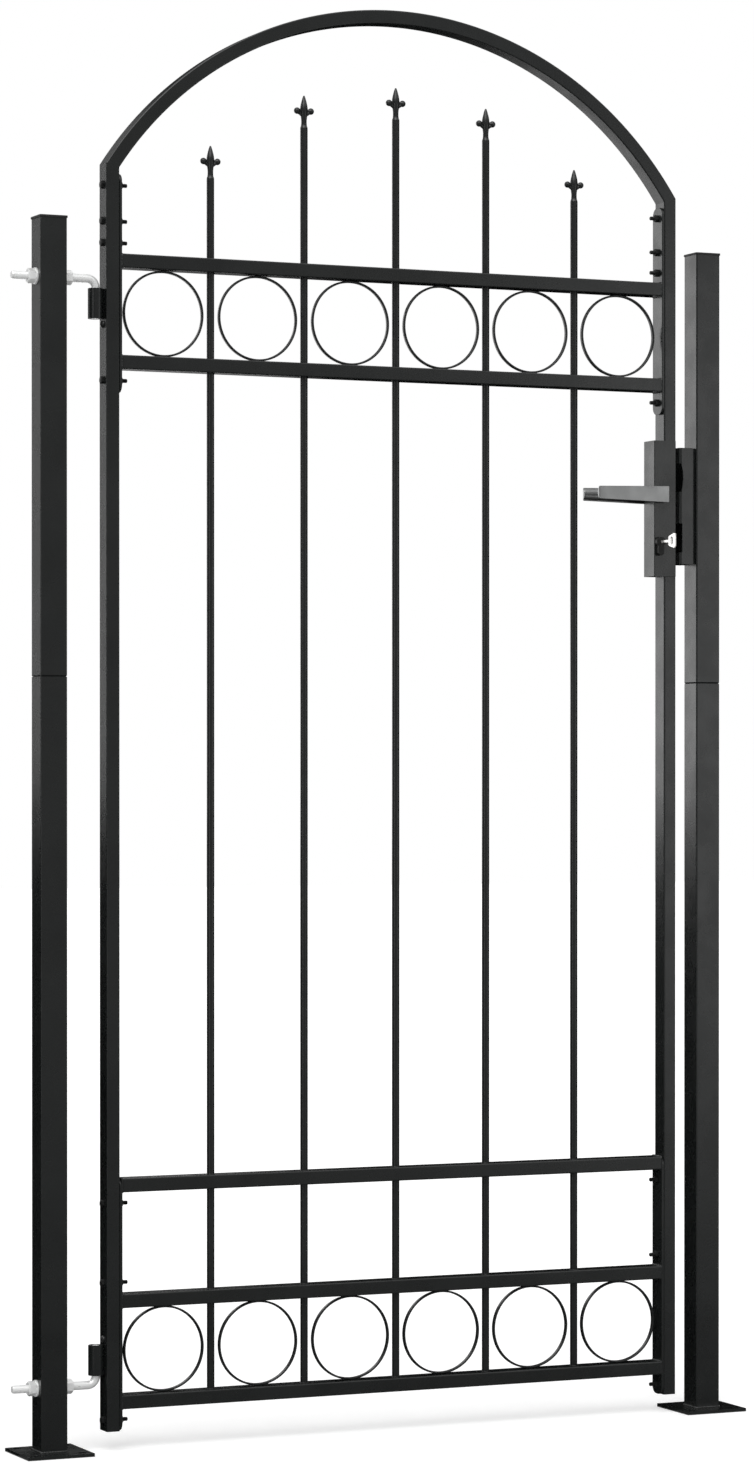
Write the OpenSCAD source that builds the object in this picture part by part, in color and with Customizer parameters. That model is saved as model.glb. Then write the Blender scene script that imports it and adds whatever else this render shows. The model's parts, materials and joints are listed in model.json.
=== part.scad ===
// Steel garden gate with an arched top, hung between two square posts.
// X runs along the gate from the hinge post to the latch post, Y through it, Z up.
// The origin is the centre of the hinge post's foot, on the ground.

/* [Overall] */
// Clear width between the two posts
opening_w = 1016.5; // [860:0.5:1220]
// Height of a post, from the ground to the top of its cap
post_h = 1763; // [1735:1:2120]
// Height where the stiles meet the arch, on the outside
spring_h = 1843; // [1790:1:2220]
// Rise of the arch above the place where it meets the stiles
arch_rise = 250.5; // [180:0.5:320]

/* [Posts] */
// Side of the square post tube
post_w = 40; // [34:1:48]
// Wall of the post tube
post_wall = 2; // [1.5:0.5:3]
// Outer corner radius of the post tube
post_r = 2; // [1:0.5:4]
// Height of the joint between the lower and upper half of a post
post_joint_h = 1108; // [900:1:1300]
// Length of the reduced end that the upper half puts inside the lower one
spigot_len = 80; // [40:5:150]
// Clearance round the reduced end and round the cap's plug
spigot_clear = 0.3; // [0.1:0.1:1]
// Side of the square base plate
plate_w = 100; // [80:1:140]
// Thickness of the base plate
plate_t = 5; // [3:0.5:8]
// Diameter of an anchor hole
anchor_d = 11; // [8:0.5:14]
// Distance from the plate's edge to the centre of an anchor hole
anchor_inset = 13; // [10:0.5:16]
// Thickness of the cap's top
cap_t = 3; // [2:0.5:6]
// How far the cap stands out past the tube on each side
cap_lip = 1.2; // [0.5:0.1:3]
// Depth of the cap's plug inside the tube
cap_plug_h = 12; // [6:1:25]

/* [Leaf frame] */
// Width across the face of the frame tube
tube_w = 20; // [16:1:24]
// Depth of the frame tube, through the gate
tube_d = 30; // [25:1:36]
// Wall of the frame tube
tube_wall = 1.5; // [1:0.5:2]
// Outer corner radius of the frame tube
tube_r = 2; // [1:0.5:3]
// Room between the hinge post and the leaf
hinge_gap = 61.5; // [50:0.5:75]
// Room between the leaf and the latch post
latch_gap = 33; // [30:0.5:45]
// Height of the stiles' lower ends above the ground
ground_clear = 28; // [20:1:60]

/* [Infill panel] */
// Height of the top rail's centre line
top_rail_z = 1704.5; // [1600:0.5:1730]
// Height of the bottom rail's centre line
bottom_rail_z = 69; // [60:0.5:90]
// Height of the middle rail's centre line
middle_rail_z = 380; // [330:1:600]
// Thickness of the flats that carry the rails
flat_t = 4; // [3:0.5:6]
// Corner radius at the ends of a flat
flat_end_r = 12; // [4:1:12]
// How far a flat runs on past the last rail
flat_tail = 34; // [20:1:40]
// How far the upper flats stop below the arch corner
flat_drop = 14; // [10:1:40]
// Diameter of the round bars
bar_d = 11; // [8:0.5:14]
// Clearance between a bar and the hole in a rail
bar_fit = 0.1; // [0.05:0.05:0.5]
// Free gap between a ring and the bars beside it
ring_gap = 5.75; // [4:0.25:12]
// Thickness of the strip that a ring is rolled from
ring_t = 3; // [2:0.5:5]
// Width of the strip that a ring is rolled from, through the gate
ring_d = 6.5; // [4:0.5:12]
// Height of a tack weld between a ring and a rail
tack_h = 0.5; // [0.3:0.1:1]
// Length of a tack weld between a ring and a rail
tack_l = 9; // [5:1:15]

/* [Spear points] */
// Gap from the three middle spear points up to the arch
tip_gap = 91.5; // [60:0.5:120]
// Gap from the two outer spear points up to the arch
end_tip_gap = 105; // [60:1:140]
// Height of a spear point above its bar
spear_h = 56; // [50:1:70]
// Diameter of the waist, the thin place above the bar
waist_d = 8; // [6:0.5:9]
// Height of the waist above the bar's end
waist_rise = 16; // [10:1:20]
// Diameter of the body under the side lobes
body_d = 10.6; // [8:0.2:12]
// Height of the body above the bar's end
body_rise = 26; // [22:1:28]
// Diameter of the blade where it leaves the side lobes
blade_d = 9; // [7:0.5:12]
// Height above the bar's end where the blade starts to taper
blade_rise = 40; // [38:1:44]
// Diameter of the blunt tip
tip_d = 1; // [0.5:0.5:2]
// Radius of a side lobe
lobe_r = 4.6; // [3:0.1:5]
// Distance from the bar's axis to the centre of a side lobe
lobe_x = 11; // [8:0.5:14]
// Height of the side lobes above the bar's end
lobe_rise = 33; // [30:1:36]

/* [Hinges] */
// Height of the upper hinge bolt
upper_hinge_z = 1677.5; // [1500:0.5:1700]
// Height of the lower hinge bolt
lower_hinge_z = 95; // [80:0.5:200]
// Diameter of the hinge bolt
bolt_d = 12; // [10:0.2:14.4]
// How far the hinge bolt stands out behind the post
bolt_tail = 37; // [20:1:60]
// Radius of the bend in the hinge bolt, on its centre line
bolt_bend_r = 12.5; // [10:0.5:20]
// Clearance round the hinge bolt in the post
bolt_hole_clear = 0.5; // [0.2:0.1:2]
// Radial running clearance of the pin in the barrel
pin_clear = 0.05; // [0.02:0.01:0.1]
// Outer diameter of the hinge barrel
barrel_d = 22; // [18:1:26]
// Height of the hinge barrel
barrel_h = 43.5; // [30:0.5:60]
// Room between the leaf and the barrel, filled by its weld
barrel_weld = 0.5; // [0.2:0.1:3]
// Width of the barrel's weld
barrel_weld_w = 9; // [6:1:16]
// Room between the bend of the bolt and the barrel
barrel_rise = 1; // [0.5:0.5:5]
// Width across the flats of a hinge nut
nut_af = 19; // [17:1:22]
// Thickness of a hinge nut
nut_h = 10.8; // [8:0.1:13]
// Diameter of a washer
washer_d = 24; // [20:1:30]
// Thickness of a washer
washer_t = 2.5; // [1:0.5:4]

/* [Lock] */
// Width of the lock case along the gate
case_w = 37; // [32:1:45]
// Depth of the lock case through the gate
case_d = 34; // [32:0.2:41]
// Height of the lock case
case_h = 205.5; // [180:0.5:240]
// Height of the middle of the lock case
case_z = 1372.5; // [1000:0.5:1400]
// Wall of the lock case
case_wall = 2; // [1.5:0.5:3]
// Outer corner radius of the lock case
case_r = 1; // [0.5:0.5:2]
// How far the lock case sits back from the leaf's edge
case_inset = 1; // [0.5:0.5:3]
// Distance from the case's outer face to the spindle
backset = 29; // [24:0.5:32]
// Height of the spindle above the middle of the lock case
spindle_rise = 21; // [10:0.5:40]
// Distance from the spindle down to the key cylinder
cylinder_drop = 72; // [60:1:85]
// Side of the square spindle
spindle_w = 8; // [7:1:10]
// Diameter of the spindle hole in the case
spindle_hole_d = 14; // [13:1:18]
// Width of the faceplate, through the gate
faceplate_w = 24; // [20:1:28]
// Height of the faceplate
faceplate_h = 185; // [150:1:195]
// Thickness of the faceplate
faceplate_t = 3; // [2:0.5:3]
// Clearance round the faceplate and the two bolts in it
faceplate_clear = 0.2; // [0.1:0.1:0.5]
// Thickness of the latch and of the dead bolt
lock_bolt_t = 12; // [8:1:16]
// Length of the latch and of the dead bolt
lock_bolt_l = 18; // [12:1:24]
// Height of the latch
latch_h = 23.5; // [16:0.5:30]
// Height of the dead bolt
dead_bolt_h = 34; // [20:1:38]

/* [Key cylinder] */
// Diameter of the round part of the cylinder
cyl_d = 15; // [12:0.5:15]
// Width of the tail of the cylinder
cyl_tail_w = 10; // [8:1:12]
// Height of the cylinder over its round part and tail
cyl_h = 28; // [24:1:36]
// How far the cylinder stands out of the front of the case
cyl_out = 8; // [1:0.5:12]
// How far the cylinder stands out of the back of the case
cyl_back_out = 1; // [0.5:0.5:8]
// Diameter of the turning plug
plug_d = 10; // [9:0.5:11]
// Height of the key's blade
key_blade_h = 4; // [3:0.5:9]
// Thickness of the key's blade
key_blade_t = 2.2; // [1.8:0.2:3]
// Length of blade that shows between the cylinder and the bow
key_out = 24; // [15:1:35]
// Length of blade inside the plug
key_in = 25; // [15:1:35]
// Length of the key's bow
bow_l = 20; // [18:1:35]
// Height of the key's bow at its free end
bow_h = 24; // [20:1:32]
// Height of the key's bow next to the blade
bow_neck_h = 14; // [12:1:20]
// Corner radius of the bow
bow_r = 3; // [1:0.5:5]
// Width of the slot for a key ring
bow_slot_w = 7; // [3:0.5:9]
// Height of the slot for a key ring
bow_slot_h = 13; // [8:1:16]

/* [Handles] */
// Length of a lever
lever_l = 120; // [90:0.5:130]
// Height of a lever at its free end
lever_h = 19.5; // [15:0.5:26]
// Height of a lever at the spindle
lever_root_h = 25; // [22:0.5:34]
// Thickness of a lever
lever_t = 6.5; // [5:0.5:12]
// Room between a lever and the lock case
lever_clear = 4; // [3:0.5:40]
// Distance from the spindle to the end of the lever behind it
lever_back = 13; // [8:0.5:16]
// Diameter of the boss between a lever and the case
boss_d = 18; // [16:1:24]
// Room between a boss and the lock case
boss_clear = 0.5; // [0.3:0.1:1]
// Corner radius of a lever, seen from the front
lever_r = 2; // [1:0.5:3]
// Thickness of metal that closes the outer end of a lever's square socket
lever_skin = 2; // [1:0.5:3]
// Clearance between the spindle and a lever's socket
spindle_clear = 0.1; // [0.05:0.05:0.3]
// Room between the spindle's ends and the bottom of each socket
spindle_end_clear = 0.5; // [0.2:0.1:1]

/* [Keep] */
// Room between the swinging lock case and the keep
keep_clear = 5; // [5:0.5:8]
// Height of the keep
keep_h = 176.5; // [160:0.5:200]
// Depth of the keep, through the gate
keep_d = 38; // [34:1:40]
// Wall of the keep
keep_wall = 2; // [1.5:0.5:3]
// Radius of the keep's bends
keep_r = 4; // [3:0.5:6]
// Width of the recessed foot that joins the keep to the post
keep_foot = 6.5; // [3:0.5:10]
// How far the keep's foot is set back on each side
keep_step = 5; // [3:0.5:8]
// How much higher the middle of the keep is than the middle of the lock case
keep_raise = 4.5; // [-10:0.5:10]
// Height of the keep's latch opening
latch_slot_h = 43; // [30:1:60]
// Height of the middle of the latch opening above the spindle
latch_slot_rise = 26.5; // [20:0.5:35]
// Height of the keep's dead bolt opening
dead_slot_h = 44; // [30:1:60]
// Height of the middle of the dead bolt opening above the key cylinder
dead_slot_rise = 7; // [0:0.5:15]
// Width of the keep's openings, through the gate
slot_w = 18; // [14:1:24]
// How far the dead bolt opening reaches round the front bend
dead_slot_wrap = 5; // [4:0.5:8]
// How far the curved latch opening reaches round the front bend at its middle
latch_slot_wrap = 6.5; // [6:0.5:12]
// Straight length at each end of the latch opening's curve
notch_land = 3; // [2:0.5:6]

/* [Hidden] */
$fn = 64;
EPS = 0.01;
BAR_COUNT = 5;
BAY_COUNT = BAR_COUNT + 1;
HULL_FN = 32;
HEX = 6;
// How far a cutting shape runs past a face
OVER = 1;
// Smallest inner corner radius of a tube
INNER_R = 0.2;
// Radius of the neck between a spear point's body and its side lobe
lobe_neck_r = 0.8 * lobe_r;

// Leaf and posts along X
leaf_x0 = post_w / 2 + hinge_gap;
leaf_w = opening_w - hinge_gap - latch_gap;
leaf_x1 = leaf_x0 + leaf_w;
leaf_mid = (leaf_x0 + leaf_x1) / 2;
latch_post_x = opening_w + post_w;
infill_x0 = leaf_x0 + tube_w + flat_t;
infill_w = leaf_w - 2 * (tube_w + flat_t);

// Bars, rings and rails
bay_w = (infill_w - BAR_COUNT * bar_d) / BAY_COUNT;
ring_od = bay_w - 2 * ring_gap;
ring_rail_pitch = ring_od + tube_w;
upper_ring_rail_z = top_rail_z - ring_rail_pitch;
lower_ring_rail_z = bottom_rail_z + ring_rail_pitch;

// Flats beside the stiles
upper_flat_z0 = upper_ring_rail_z - tube_w / 2 - flat_tail;
upper_flat_z1 = spring_h - flat_drop;
lower_flat_z1 = middle_rail_z + tube_w / 2;
lock_flat_x0 = leaf_x1 - tube_w - flat_t;

// Arch, and the two mitres where it meets the stiles
arch_ro = ((leaf_w / 2) ^ 2 + arch_rise ^ 2) / (2 * arch_rise);
arch_ri = arch_ro - tube_w;
arch_zc = spring_h + arch_rise - arch_ro;
mitre_in_x = leaf_w / 2 - tube_w;
mitre_in_z = arch_zc + sqrt(arch_ri ^ 2 - mitre_in_x ^ 2);
mitre_slope = (spring_h - mitre_in_z) / tube_w;
// How far the cutting shape runs past each mitre
mitre_reach = 60;

// Hinges
hinge_x = leaf_x0 - barrel_weld - barrel_d / 2;

// Lock
case_x1 = leaf_x1 - case_inset;
case_x0 = case_x1 - case_w;
case_z0 = case_z - case_h / 2;
case_z1 = case_z + case_h / 2;
spindle_x = case_x1 - backset;
spindle_z = case_z + spindle_rise;
cylinder_z = spindle_z - cylinder_drop;
latch_z = spindle_z + latch_slot_rise;
dead_z = cylinder_z + dead_slot_rise;
LATCH_AND_BOLT = [[latch_z, latch_h], [dead_z, dead_bolt_h]];
cyl_face = case_d / 2 + cyl_out;
cyl_back = case_d / 2 + cyl_back_out;
keep_x0 = hinge_x + sqrt((case_x1 - hinge_x) ^ 2 + (case_d / 2) ^ 2) + keep_clear;
keep_w = latch_post_x - post_w / 2 - keep_x0;
lever_y = case_d / 2 + lever_clear;
keep_z0 = case_z + keep_raise - keep_h / 2;

// Height of the arch's inner face above the ground, at a distance from its middle
function arch_under(dx) = arch_zc + sqrt(arch_ri ^ 2 - dx ^ 2);
// Centre of a bar and of a bay along X, both counted from the hinge side
function bar_x(i) = infill_x0 + bay_w * (i + 1) + bar_d * (i + 0.5);
function bay_x(i) = infill_x0 + bay_w * (i + 0.5) + bar_d * i;
function is_end_bar(i) = i == 0 || i == BAR_COUNT - 1;
function tip_z(i) = arch_under(bar_x(i) - leaf_mid) - (is_end_bar(i) ? end_tip_gap : tip_gap);

// ---- Shared shapes ----

// Flat rectangle with round corners, centred
module round_rect(w, d, r) {
    square([w - 2 * r, d], center = true);
    square([w, d - 2 * r], center = true);
    for (sx = [-1, 1], sy = [-1, 1])
        translate([sx * (w / 2 - r), sy * (d / 2 - r)]) circle(r);
}

// Section of a rectangular tube, centred
module tube_section(w, d, r, wall) {
    difference() {
        round_rect(w, d, r);
        round_rect(w - 2 * wall, d - 2 * wall, max(r - wall, INNER_R));
    }
}

// Upright tube between two heights
module upright_tube(z0, z1, w, d, r, wall) {
    translate([0, 0, z0]) linear_extrude(z1 - z0) tube_section(w, d, r, wall);
}

// Cylinder along X, starting at x0
module rod_x(x0, x1, d) {
    translate([x0, 0, 0]) rotate([0, 90, 0]) cylinder(d = d, h = x1 - x0);
}

// Cylinder along Y, centred
module rod_y(len, d) {
    rotate([90, 0, 0]) cylinder(d = d, h = len, center = true);
}

// Everything above the two mitres where the arch meets the stiles
module above_mitres() {
    out_x = leaf_w / 2 + mitre_reach;
    out_z = spring_h + mitre_reach * mitre_slope;
    top = spring_h + arch_rise + mitre_reach;
    translate([leaf_mid, tube_d, 0]) rotate([90, 0, 0]) linear_extrude(2 * tube_d)
        polygon([[-out_x, out_z], [-mitre_in_x + mitre_reach, mitre_in_z - mitre_reach * mitre_slope],
            [mitre_in_x - mitre_reach, mitre_in_z - mitre_reach * mitre_slope],
            [out_x, out_z], [out_x, top], [-out_x, top]]);
}

// ---- Posts ----

module post_base() {
    hole = plate_w / 2 - anchor_inset;
    color("#1d1f1f") difference() {
        translate([-plate_w / 2, -plate_w / 2, 0]) cube([plate_w, plate_w, plate_t]);
        for (sx = [-1, 1], sy = [-1, 1])
            translate([sx * hole, sy * hole, -EPS]) cylinder(d = anchor_d, h = plate_t + 2 * EPS);
    }
}

module post_lower() {
    upright_tube(plate_t, post_joint_h, post_w, post_w, post_r, post_wall);
}

module post_upper() {
    inner_w = post_w - 2 * (post_wall + spigot_clear);
    neck_wall = post_wall + spigot_clear;
    upright_tube(post_joint_h, post_h - cap_t, post_w, post_w, post_r, post_wall);
    upright_tube(post_joint_h - spigot_len, post_joint_h + neck_wall, inner_w, inner_w, post_r, post_wall);
    upright_tube(post_joint_h, post_joint_h + neck_wall, post_w, post_w, post_r, 2 * neck_wall);
}

module post_cap() {
    top_w = post_w + 2 * cap_lip;
    plug_w = post_w - 2 * (post_wall + spigot_clear);
    color("#151616") {
        translate([0, 0, post_h - cap_t]) linear_extrude(cap_t) round_rect(top_w, top_w, post_r + cap_lip);
        upright_tube(post_h - cap_t - cap_plug_h, post_h - cap_t, plug_w, plug_w, post_r, post_wall);
    }
}

// Hole for a hinge bolt, right through the post
module hinge_bolt_hole(z) {
    translate([0, 0, z]) rod_x(-post_w, post_w, bolt_d + 2 * bolt_hole_clear);
}

module hinge_post_base() { post_base(); }
module hinge_post_lower() {
    color("#1d1f1f") difference() {
        post_lower();
        hinge_bolt_hole(lower_hinge_z);
    }
}
module hinge_post_upper() {
    color("#1d1f1f") difference() {
        post_upper();
        hinge_bolt_hole(upper_hinge_z);
    }
}
module hinge_post_cap() { post_cap(); }
module latch_post_base() { translate([latch_post_x, 0, 0]) post_base(); }
module latch_post_lower() { color("#1d1f1f") translate([latch_post_x, 0, 0]) post_lower(); }
module latch_post_upper() { color("#1d1f1f") translate([latch_post_x, 0, 0]) post_upper(); }
module latch_post_cap() { translate([latch_post_x, 0, 0]) post_cap(); }

// ---- Hinges ----

// Threaded bolt through the post, bent up into the pin that the leaf hangs on
module hinge_bolt() {
    color("#c9c9c4") {
        rod_x(-post_w / 2 - bolt_tail, hinge_x - bolt_bend_r, bolt_d);
        translate([hinge_x - bolt_bend_r, 0, bolt_bend_r]) rotate([90, 0, 0]) rotate([0, 0, -90])
            rotate_extrude(angle = 90) translate([bolt_bend_r, 0]) circle(d = bolt_d);
        translate([hinge_x, 0, bolt_bend_r]) cylinder(d = bolt_d, h = barrel_rise + barrel_h);
    }
}

// Two nuts, each with its washer, that clamp the hinge bolt to the post
module hinge_nuts(z) {
    color("#c9c9c4") translate([0, 0, z]) for (side = [0, 1]) mirror([side, 0, 0])
        difference() {
            union() {
                rod_x(post_w / 2, post_w / 2 + washer_t, washer_d);
                translate([post_w / 2 + washer_t, 0, 0]) rotate([0, 90, 0])
                    cylinder(d = nut_af / cos(180 / HEX), h = nut_h, $fn = HEX);
            }
            rod_x(post_w / 2 - EPS, post_w / 2 + washer_t + nut_h + EPS, bolt_d + 2 * pin_clear);
        }
}

// Welded barrel with its bore; z is the height of its lower end
module hinge_barrel(z) {
    color("#1d1f1f") translate([hinge_x, 0, z]) difference() {
        union() {
            cylinder(d = barrel_d, h = barrel_h);
            translate([0, -barrel_weld_w / 2, 0])
                cube([barrel_d / 2 + barrel_weld, barrel_weld_w, barrel_h]);
        }
        translate([0, 0, -EPS]) cylinder(d = bolt_d + 2 * pin_clear, h = barrel_h + 2 * EPS);
    }
}

module upper_hinge_bolt() { translate([0, 0, upper_hinge_z]) mirror([0, 0, 1]) hinge_bolt(); }
module lower_hinge_bolt() { translate([0, 0, lower_hinge_z]) hinge_bolt(); }
module upper_hinge_nuts() { hinge_nuts(upper_hinge_z); }
module lower_hinge_nuts() { hinge_nuts(lower_hinge_z); }
module upper_hinge_barrel() { hinge_barrel(upper_hinge_z - bolt_bend_r - barrel_rise - barrel_h); }
module lower_hinge_barrel() { hinge_barrel(lower_hinge_z + bolt_bend_r + barrel_rise); }

// ---- Leaf frame ----

module stile(x0, z0, z1) {
    color("#1d1f1f") translate([x0 + tube_w / 2, 0, 0])
        upright_tube(z0, z1, tube_w, tube_d, tube_r, tube_wall);
}

module hinge_stile() {
    difference() {
        stile(leaf_x0, ground_clear, spring_h + mitre_reach);
        above_mitres();
    }
}
module lock_stile_upper() {
    difference() {
        stile(leaf_x1 - tube_w, case_z1, spring_h + mitre_reach);
        above_mitres();
    }
}
module lock_stile_lower() { stile(leaf_x1 - tube_w, ground_clear, case_z0); }

module arch_top() {
    color("#1d1f1f") intersection() {
        translate([leaf_mid, 0, arch_zc]) rotate([90, 0, 0])
            rotate_extrude(angle = 180, $fn = 180) translate([arch_ro - tube_w / 2, 0])
                tube_section(tube_w, tube_d, tube_r, tube_wall);
        above_mitres();
    }
}

// Upright flat between two heights, with rounded end corners
module side_flat(x0, z0, z1) {
    color("#1d1f1f") translate([x0, 0, (z0 + z1) / 2]) rotate([90, 0, 90])
        linear_extrude(flat_t) round_rect(tube_d, z1 - z0, flat_end_r);
}

module hinge_side_upper_flat() { side_flat(leaf_x0 + tube_w, upper_flat_z0, upper_flat_z1); }
module hinge_side_lower_flat() { side_flat(leaf_x0 + tube_w, ground_clear, lower_flat_z1); }
module lock_side_upper_flat() { side_flat(lock_flat_x0, upper_flat_z0, upper_flat_z1); }
module lock_side_lower_flat() { side_flat(lock_flat_x0, ground_clear, lower_flat_z1); }

// ---- Infill panel ----

// Rail between the flats, with holes for the bars; the bottom rail is open on top only
module rail(z, through) {
    drill = through ? tube_w + 2 * EPS : tube_w / 2 + EPS;
    drill_z = through ? -tube_w / 2 - EPS : 0;
    color("#1d1f1f") difference() {
        translate([infill_x0, 0, z]) rotate([90, 0, 90])
            linear_extrude(infill_w) tube_section(tube_d, tube_w, tube_r, tube_wall);
        for (i = [0 : BAR_COUNT - 1])
            translate([bar_x(i), 0, z + drill_z]) cylinder(d = bar_d + 2 * bar_fit, h = drill);
    }
}

module top_rail() { rail(top_rail_z, true); }
module upper_ring_rail() { rail(upper_ring_rail_z, true); }
module middle_rail() { rail(middle_rail_z, true); }
module lower_ring_rail() { rail(lower_ring_rail_z, true); }
module bottom_rail() { rail(bottom_rail_z, false); }

// Round bar from inside the bottom rail up to its spear point
module spear_bar(i) {
    foot_z = bottom_rail_z - tube_w / 2 + tube_wall;
    color("#1d1f1f") translate([bar_x(i), 0, foot_z])
        cylinder(d = bar_d, h = tip_z(i) - spear_h - foot_z);
}

module spear_bar_1() { spear_bar(0); }
module spear_bar_2() { spear_bar(1); }
module spear_bar_3() { spear_bar(2); }
module spear_bar_4() { spear_bar(3); }
module spear_bar_5() { spear_bar(4); }

// Cast point: waist, body with two side lobes, and a tapered blade
module spear_point() {
    rotate_extrude()
        polygon([[0, 0], [bar_d / 2, 0], [waist_d / 2, waist_rise], [body_d / 2, body_rise],
            [blade_d / 2, blade_rise], [tip_d / 2, spear_h], [0, spear_h]]);
    for (side = [-1, 1]) {
        translate([side * lobe_x, 0, lobe_rise]) sphere(lobe_r);
        translate([0, 0, lobe_rise]) rotate([0, side * 90, 0]) cylinder(r = lobe_neck_r, h = lobe_x);
    }
}

module spear_points() {
    color("#1d1f1f") for (i = [0 : BAR_COUNT - 1])
        translate([bar_x(i), 0, tip_z(i) - spear_h]) spear_point();
}

// Row of rolled rings between two rails, each held by a tack weld above and below
module ring_row(z) {
    strip_r = ring_od / 2 - tack_h;
    color("#1d1f1f") for (i = [0 : BAY_COUNT - 1]) translate([bay_x(i), 0, z]) {
        rotate([90, 0, 0]) rotate_extrude($fn = 120)
            translate([strip_r - ring_t, -ring_d / 2]) square([ring_t, ring_d]);
        for (side = [0, 1]) mirror([0, 0, side])
            translate([-tack_l / 2, -ring_d / 2, strip_r - ring_t / 2])
                cube([tack_l, ring_d, ring_t / 2 + tack_h]);
    }
}

module upper_rings() { ring_row(top_rail_z - ring_rail_pitch / 2); }
module lower_rings() { ring_row(bottom_rail_z + ring_rail_pitch / 2); }

// ---- Lock ----

// Outline of a key cylinder, centred on its plug, in the plane of the gate
module cylinder_outline(grow) {
    circle(d = cyl_d + 2 * grow);
    translate([-cyl_tail_w / 2 - grow, cyl_d / 2 - cyl_h + cyl_tail_w / 2])
        square([cyl_tail_w + 2 * grow, cyl_h - cyl_d / 2 - cyl_tail_w / 2]);
    translate([0, cyl_d / 2 - cyl_h + cyl_tail_w / 2]) circle(d = cyl_tail_w + 2 * grow);
}

module lock_case() {
    mid = (case_x0 + case_x1) / 2;
    plate_cut = faceplate_t + faceplate_clear;
    color("#1d1f1f") difference() {
        translate([mid, 0, case_z0]) linear_extrude(case_h) round_rect(case_w, case_d, case_r);
        translate([case_x0 + case_wall, -case_d / 2 + case_wall, case_z0 + case_wall])
            cube([case_w - case_wall - plate_cut, case_d - 2 * case_wall, case_h - 2 * case_wall]);
        translate([case_x1 - plate_cut - EPS, -faceplate_w / 2 - faceplate_clear,
            case_z - faceplate_h / 2 - faceplate_clear])
            cube([plate_cut + 2 * EPS, faceplate_w + 2 * faceplate_clear, faceplate_h + 2 * faceplate_clear]);
        translate([spindle_x, 0, spindle_z]) rod_y(case_d + 2 * OVER, spindle_hole_d);
        translate([spindle_x, case_d / 2 + OVER, cylinder_z]) rotate([90, 0, 0])
            linear_extrude(case_d + 2 * OVER) cylinder_outline(faceplate_clear);
    }
}

// Steel plate in the edge of the case, with openings for the latch and the dead bolt
module lock_faceplate() {
    cut_w = lock_bolt_t + 2 * faceplate_clear;
    color("#9a9a96") difference() {
        translate([case_x1 - faceplate_t, -faceplate_w / 2, case_z - faceplate_h / 2])
            cube([faceplate_t, faceplate_w, faceplate_h]);
        for (piece = LATCH_AND_BOLT)
            translate([case_x1 - faceplate_t - OVER, -cut_w / 2, piece[0] - piece[1] / 2 - faceplate_clear])
                cube([faceplate_t + 2 * OVER, cut_w, piece[1] + 2 * faceplate_clear]);
    }
}

// Latch and dead bolt, both drawn back level with the faceplate
module lock_bolts() {
    color("#b5b5b0") for (piece = LATCH_AND_BOLT)
        translate([case_x1 - lock_bolt_l, -lock_bolt_t / 2, piece[0] - piece[1] / 2])
            cube([lock_bolt_l, lock_bolt_t, piece[1]]);
}

module lock_cylinder() {
    color("#2a2a29") translate([spindle_x, 0, cylinder_z]) difference() {
        translate([0, cyl_back, 0]) rotate([90, 0, 0])
            linear_extrude(cyl_face + cyl_back) cylinder_outline(0);
        rod_y(2 * cyl_face + 2 * OVER, plug_d + 2 * pin_clear);
    }
}

// Turning plug with the keyway in its front end
module cylinder_plug() {
    slot_h = key_blade_h + 2 * faceplate_clear;
    slot_t = key_blade_t + 2 * faceplate_clear;
    color("#8a8a86") translate([spindle_x, 0, cylinder_z]) difference() {
        translate([0, (cyl_back - cyl_face) / 2, 0]) rod_y(cyl_face + cyl_back, plug_d);
        translate([-slot_t / 2, -cyl_face - EPS, -slot_h / 2])
            cube([slot_t, key_in + faceplate_clear, slot_h]);
    }
}

// Side view of the key's bow, its neck at the origin, free end towards -X
module bow_outline() {
    difference() {
        hull() for (side = [-1, 1]) {
            translate([-bow_r, side * (bow_neck_h / 2 - bow_r)]) circle(bow_r, $fn = HULL_FN);
            translate([bow_r - bow_l, side * (bow_h / 2 - bow_r)]) circle(bow_r, $fn = HULL_FN);
        }
        translate([-bow_l / 2, 0])
            round_rect(bow_slot_w, bow_slot_h, bow_slot_w / 2 - EPS);
    }
}

// Flat key standing in the plug
module key() {
    blade_front = cyl_face + key_out + bow_r;
    color("#d6d6d2") translate([spindle_x - key_blade_t / 2, 0, cylinder_z]) {
        translate([0, -blade_front, -key_blade_h / 2])
            cube([key_blade_t, blade_front - cyl_face + key_in, key_blade_h]);
        translate([0, -cyl_face - key_out, 0]) rotate([90, 0, 90])
            linear_extrude(key_blade_t) bow_outline();
    }
}

// ---- Handles ----

// Front view of a lever, spindle at the origin, free end towards -X
module lever_outline() {
    tip_x = lever_back - lever_l;
    hull() for (side = [-1, 1]) {
        translate([tip_x + lever_r, side * (lever_h / 2 - lever_r)]) circle(lever_r, $fn = HULL_FN);
        translate([lever_back - lever_r, side * (lever_root_h / 2 - lever_r)])
            circle(lever_r, $fn = HULL_FN);
    }
}

// Lever behind the gate, with its boss and square socket
module rear_lever() {
    boss_y = case_d / 2 + boss_clear;
    socket = spindle_w + 2 * spindle_clear;
    color("#8f918f") translate([spindle_x, 0, spindle_z]) difference() {
        union() {
            translate([0, lever_y + lever_t, 0]) rotate([90, 0, 0]) linear_extrude(lever_t) lever_outline();
            translate([0, lever_y + EPS, 0]) rotate([90, 0, 0])
            cylinder(d = boss_d, h = lever_y + EPS - boss_y);
        }
        translate([-socket / 2, 0, -socket / 2]) cube([socket, lever_y + lever_t - lever_skin, socket]);
    }
}

module front_handle() { mirror([0, 1, 0]) rear_lever(); }
module rear_handle() { rear_lever(); }
module handle_spindle() {
    half = lever_y + lever_t - lever_skin - spindle_end_clear;
    color("#9a9a96") translate([spindle_x - spindle_w / 2, -half, spindle_z - spindle_w / 2])
        cube([spindle_w, 2 * half, spindle_w]);
}

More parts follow.
